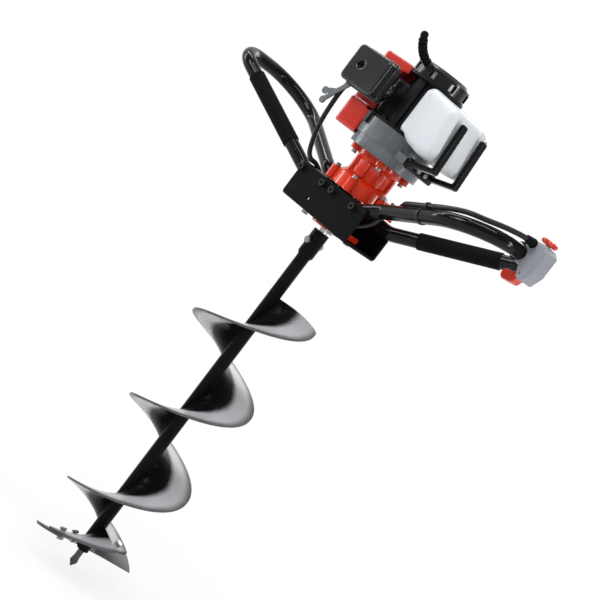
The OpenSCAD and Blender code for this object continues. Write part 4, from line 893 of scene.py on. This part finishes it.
# Pieces turned or lobed about an axis
def circle(middle, side, up, radius, steps):
    angles = (FULL_TURN * k / steps for k in range(steps))
    return [middle + radius * (math.cos(angle) * side + math.sin(angle) * up) for angle in angles]


def rings_mesh(name, rings):
    """A closed skin over rings of points, with a point at each end."""
    count = len(rings[1])
    points = [point for ring in rings for point in ring]
    faces = [(0, 1 + (k + 1) % count, 1 + k) for k in range(count)]
    for i in range(len(rings) - 3):
        base = 1 + i * count
        faces += [(base + k, base + (k + 1) % count, base + count + (k + 1) % count, base + count + k)
                  for k in range(count)]
    base = len(points) - 1 - count
    faces += [(base + k, base + (k + 1) % count, len(points) - 1) for k in range(count)]
    mesh = bpy.data.meshes.new(name)
    mesh.from_pydata(points, [], faces)
    work = bmesh.new()
    work.from_mesh(mesh)
    bmesh.ops.recalc_face_normals(work, faces=work.faces)
    work.to_mesh(mesh)
    work.free()
    return mesh


# Primer bulb: distances from the seat and radii of its stem and flange, then the dome on them
PRIMER_STEM = ((0, 0.0065), (0.0098, 0.0065), (0.01, 0.0122), (0.0104, 0.0125), (0.0132, 0.0125),
               (0.0136, 0.0122), (0.0138, 0.0106))
PRIMER_DOME = 0.0087
PRIMER_ANGLES = range(10, 90, 8)
PRIMER_EDGE = 0.0002


def primer_dome():
    """Squeeze bulb of the primer on its stem and flange, turned about X."""
    low, high = (Vector(corner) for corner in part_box("primer_bulb"))
    side, up, along = Vector((0, 1, 0)), Vector((0, 0, 1)), Vector((1, 0, 0))
    seat = Vector((low.x, (low.y + high.y) / 2, (low.z + high.z) / 2))
    dome_foot, dome_radius = PRIMER_STEM[-1]
    outline = list(PRIMER_STEM)
    for angle in PRIMER_ANGLES:
        turn = math.radians(angle)
        outline.append((dome_foot + PRIMER_DOME * math.sin(turn), dome_radius * math.cos(turn)))
    rings = [circle(seat + rise * along, side, up, radius, steps=48) for rise, radius in outline]
    tip = seat + (high.x - low.x) * along
    return soften(add_piece("primer_dome", rings_mesh("primer_dome", [[seat], *rings, [tip]])), PRIMER_EDGE)


settle(primer_dome(), "machine", slot_of_node["primer_bulb"], "primer_bulb", look="bulb_smoke")

BOOT_LENGTH = 0.02
BOOT_RADII = (0.0056, 0.0078)
BOOT_RIBS = 4
BOOT_RIB_HEIGHT = 0.0005
BOOT_ROWS = BOOT_RIBS * 8
BOOT_POINTS = 8


def cable_boot():
    """Ribbed rubber boot on the cable at the throttle case, in line with the cable's last points."""
    tip = sheath[-1]
    line = (tip - sheath[-BOOT_POINTS]).normalized()
    side = line.cross(Vector((0, 0, 1))).normalized()
    up = side.cross(line)
    start = tip - BOOT_LENGTH * line
    rings = [[start]]
    for i in range(BOOT_ROWS + 1):
        share = i / BOOT_ROWS
        radius = BOOT_RADII[0] + (BOOT_RADII[1] - BOOT_RADII[0]) * share
        radius += BOOT_RIB_HEIGHT * math.cos(FULL_TURN * BOOT_RIBS * share)
        rings.append(circle(start + BOOT_LENGTH * share * line, side, up, radius, steps=32))
    rings.append([tip])
    boot = add_piece("cable_boot", rings_mesh("cable_boot", rings))
    boot.data.shade_smooth()
    return boot


settle(cable_boot(), "machine", slot_of_node["throttle_cable"])

# Stop switch: heights and shares of the radius of its lobed knob, and the stem's width, depth and lap
KNOB_LOBES = 7
KNOB_RADIUS = 0.0134
KNOB_WAVE = 0.17
KNOB_STEPS = KNOB_LOBES * 14
KNOB_SECTION = ((0.0, 0.62), (0.0012, 0.86), (0.0034, 0.98), (0.0056, 1.0), (0.0074, 0.93), (0.0088, 0.74),
                (0.0094, 0.45))
KNOB_EDGE = 0.0003
KNOB_SHARP_ANGLE = 50
STEM_WIDTH = 0.0054
STEM_DEPTH = 0.008
STEM_LAP = 0.002


def switch_knob():
    """Lobed knob of the stop switch on its oblong stem."""
    low, high = (Vector(corner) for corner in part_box("stop_switch"))
    x, y = (low.x + high.x) / 2, (low.y + high.y) / 2
    base = high.z - KNOB_SECTION[-1][0]
    rings = [[(x, y, base)]]
    for rise, share in KNOB_SECTION:
        ring = []
        for k in range(KNOB_STEPS):
            angle = FULL_TURN * k / KNOB_STEPS
            radius = KNOB_RADIUS * share * (1 + KNOB_WAVE * math.cos(KNOB_LOBES * angle))
            ring.append((x + radius * math.cos(angle), y + radius * math.sin(angle), base + rise))
        rings.append(ring)
    rings.append([(x, y, high.z)])
    mesh = rings_mesh("switch_knob", rings)
    stem_top = base + STEM_LAP
    work = bmesh.new()
    work.from_mesh(mesh)
    stem = bmesh.ops.create_cube(work, size=1.0)["verts"]
    bmesh.ops.scale(work, vec=(STEM_WIDTH, STEM_DEPTH, stem_top - low.z), verts=stem)
    bmesh.ops.translate(work, vec=(x, y, (stem_top + low.z) / 2), verts=stem)
    work.to_mesh(mesh)
    work.free()
    return soften(add_piece("switch_knob", mesh), KNOB_EDGE, KNOB_SHARP_ANGLE)


settle(switch_knob(), "stop_switch", slot_of_node["stop_switch"], "stop_switch")

# All other nodes: their CAD shapes with softened edges
FINE_EDGE = 0.0004
SOFT_EDGES = {"air_cleaner_base": 0.0008, "handle_bracket": 0.0008, "fan_case": 0.001,
              "starter_housing": 0.001, "lead_clip": 0.0012, "gear_case": 0.0008, "gear_cover": 0.0008,
              "muffler": 0.0015, "cable_tie": 0.0003}
dressed = {node: soft_edges(merged_copy(node + "_skin", node), SOFT_EDGES.get(node, FINE_EDGE))
           for node in nodes if node not in replaced}
take_in(dressed.values())
for node, piece in dressed.items():
    settle(piece, body_of_node[node], slot_of_node[node], node)
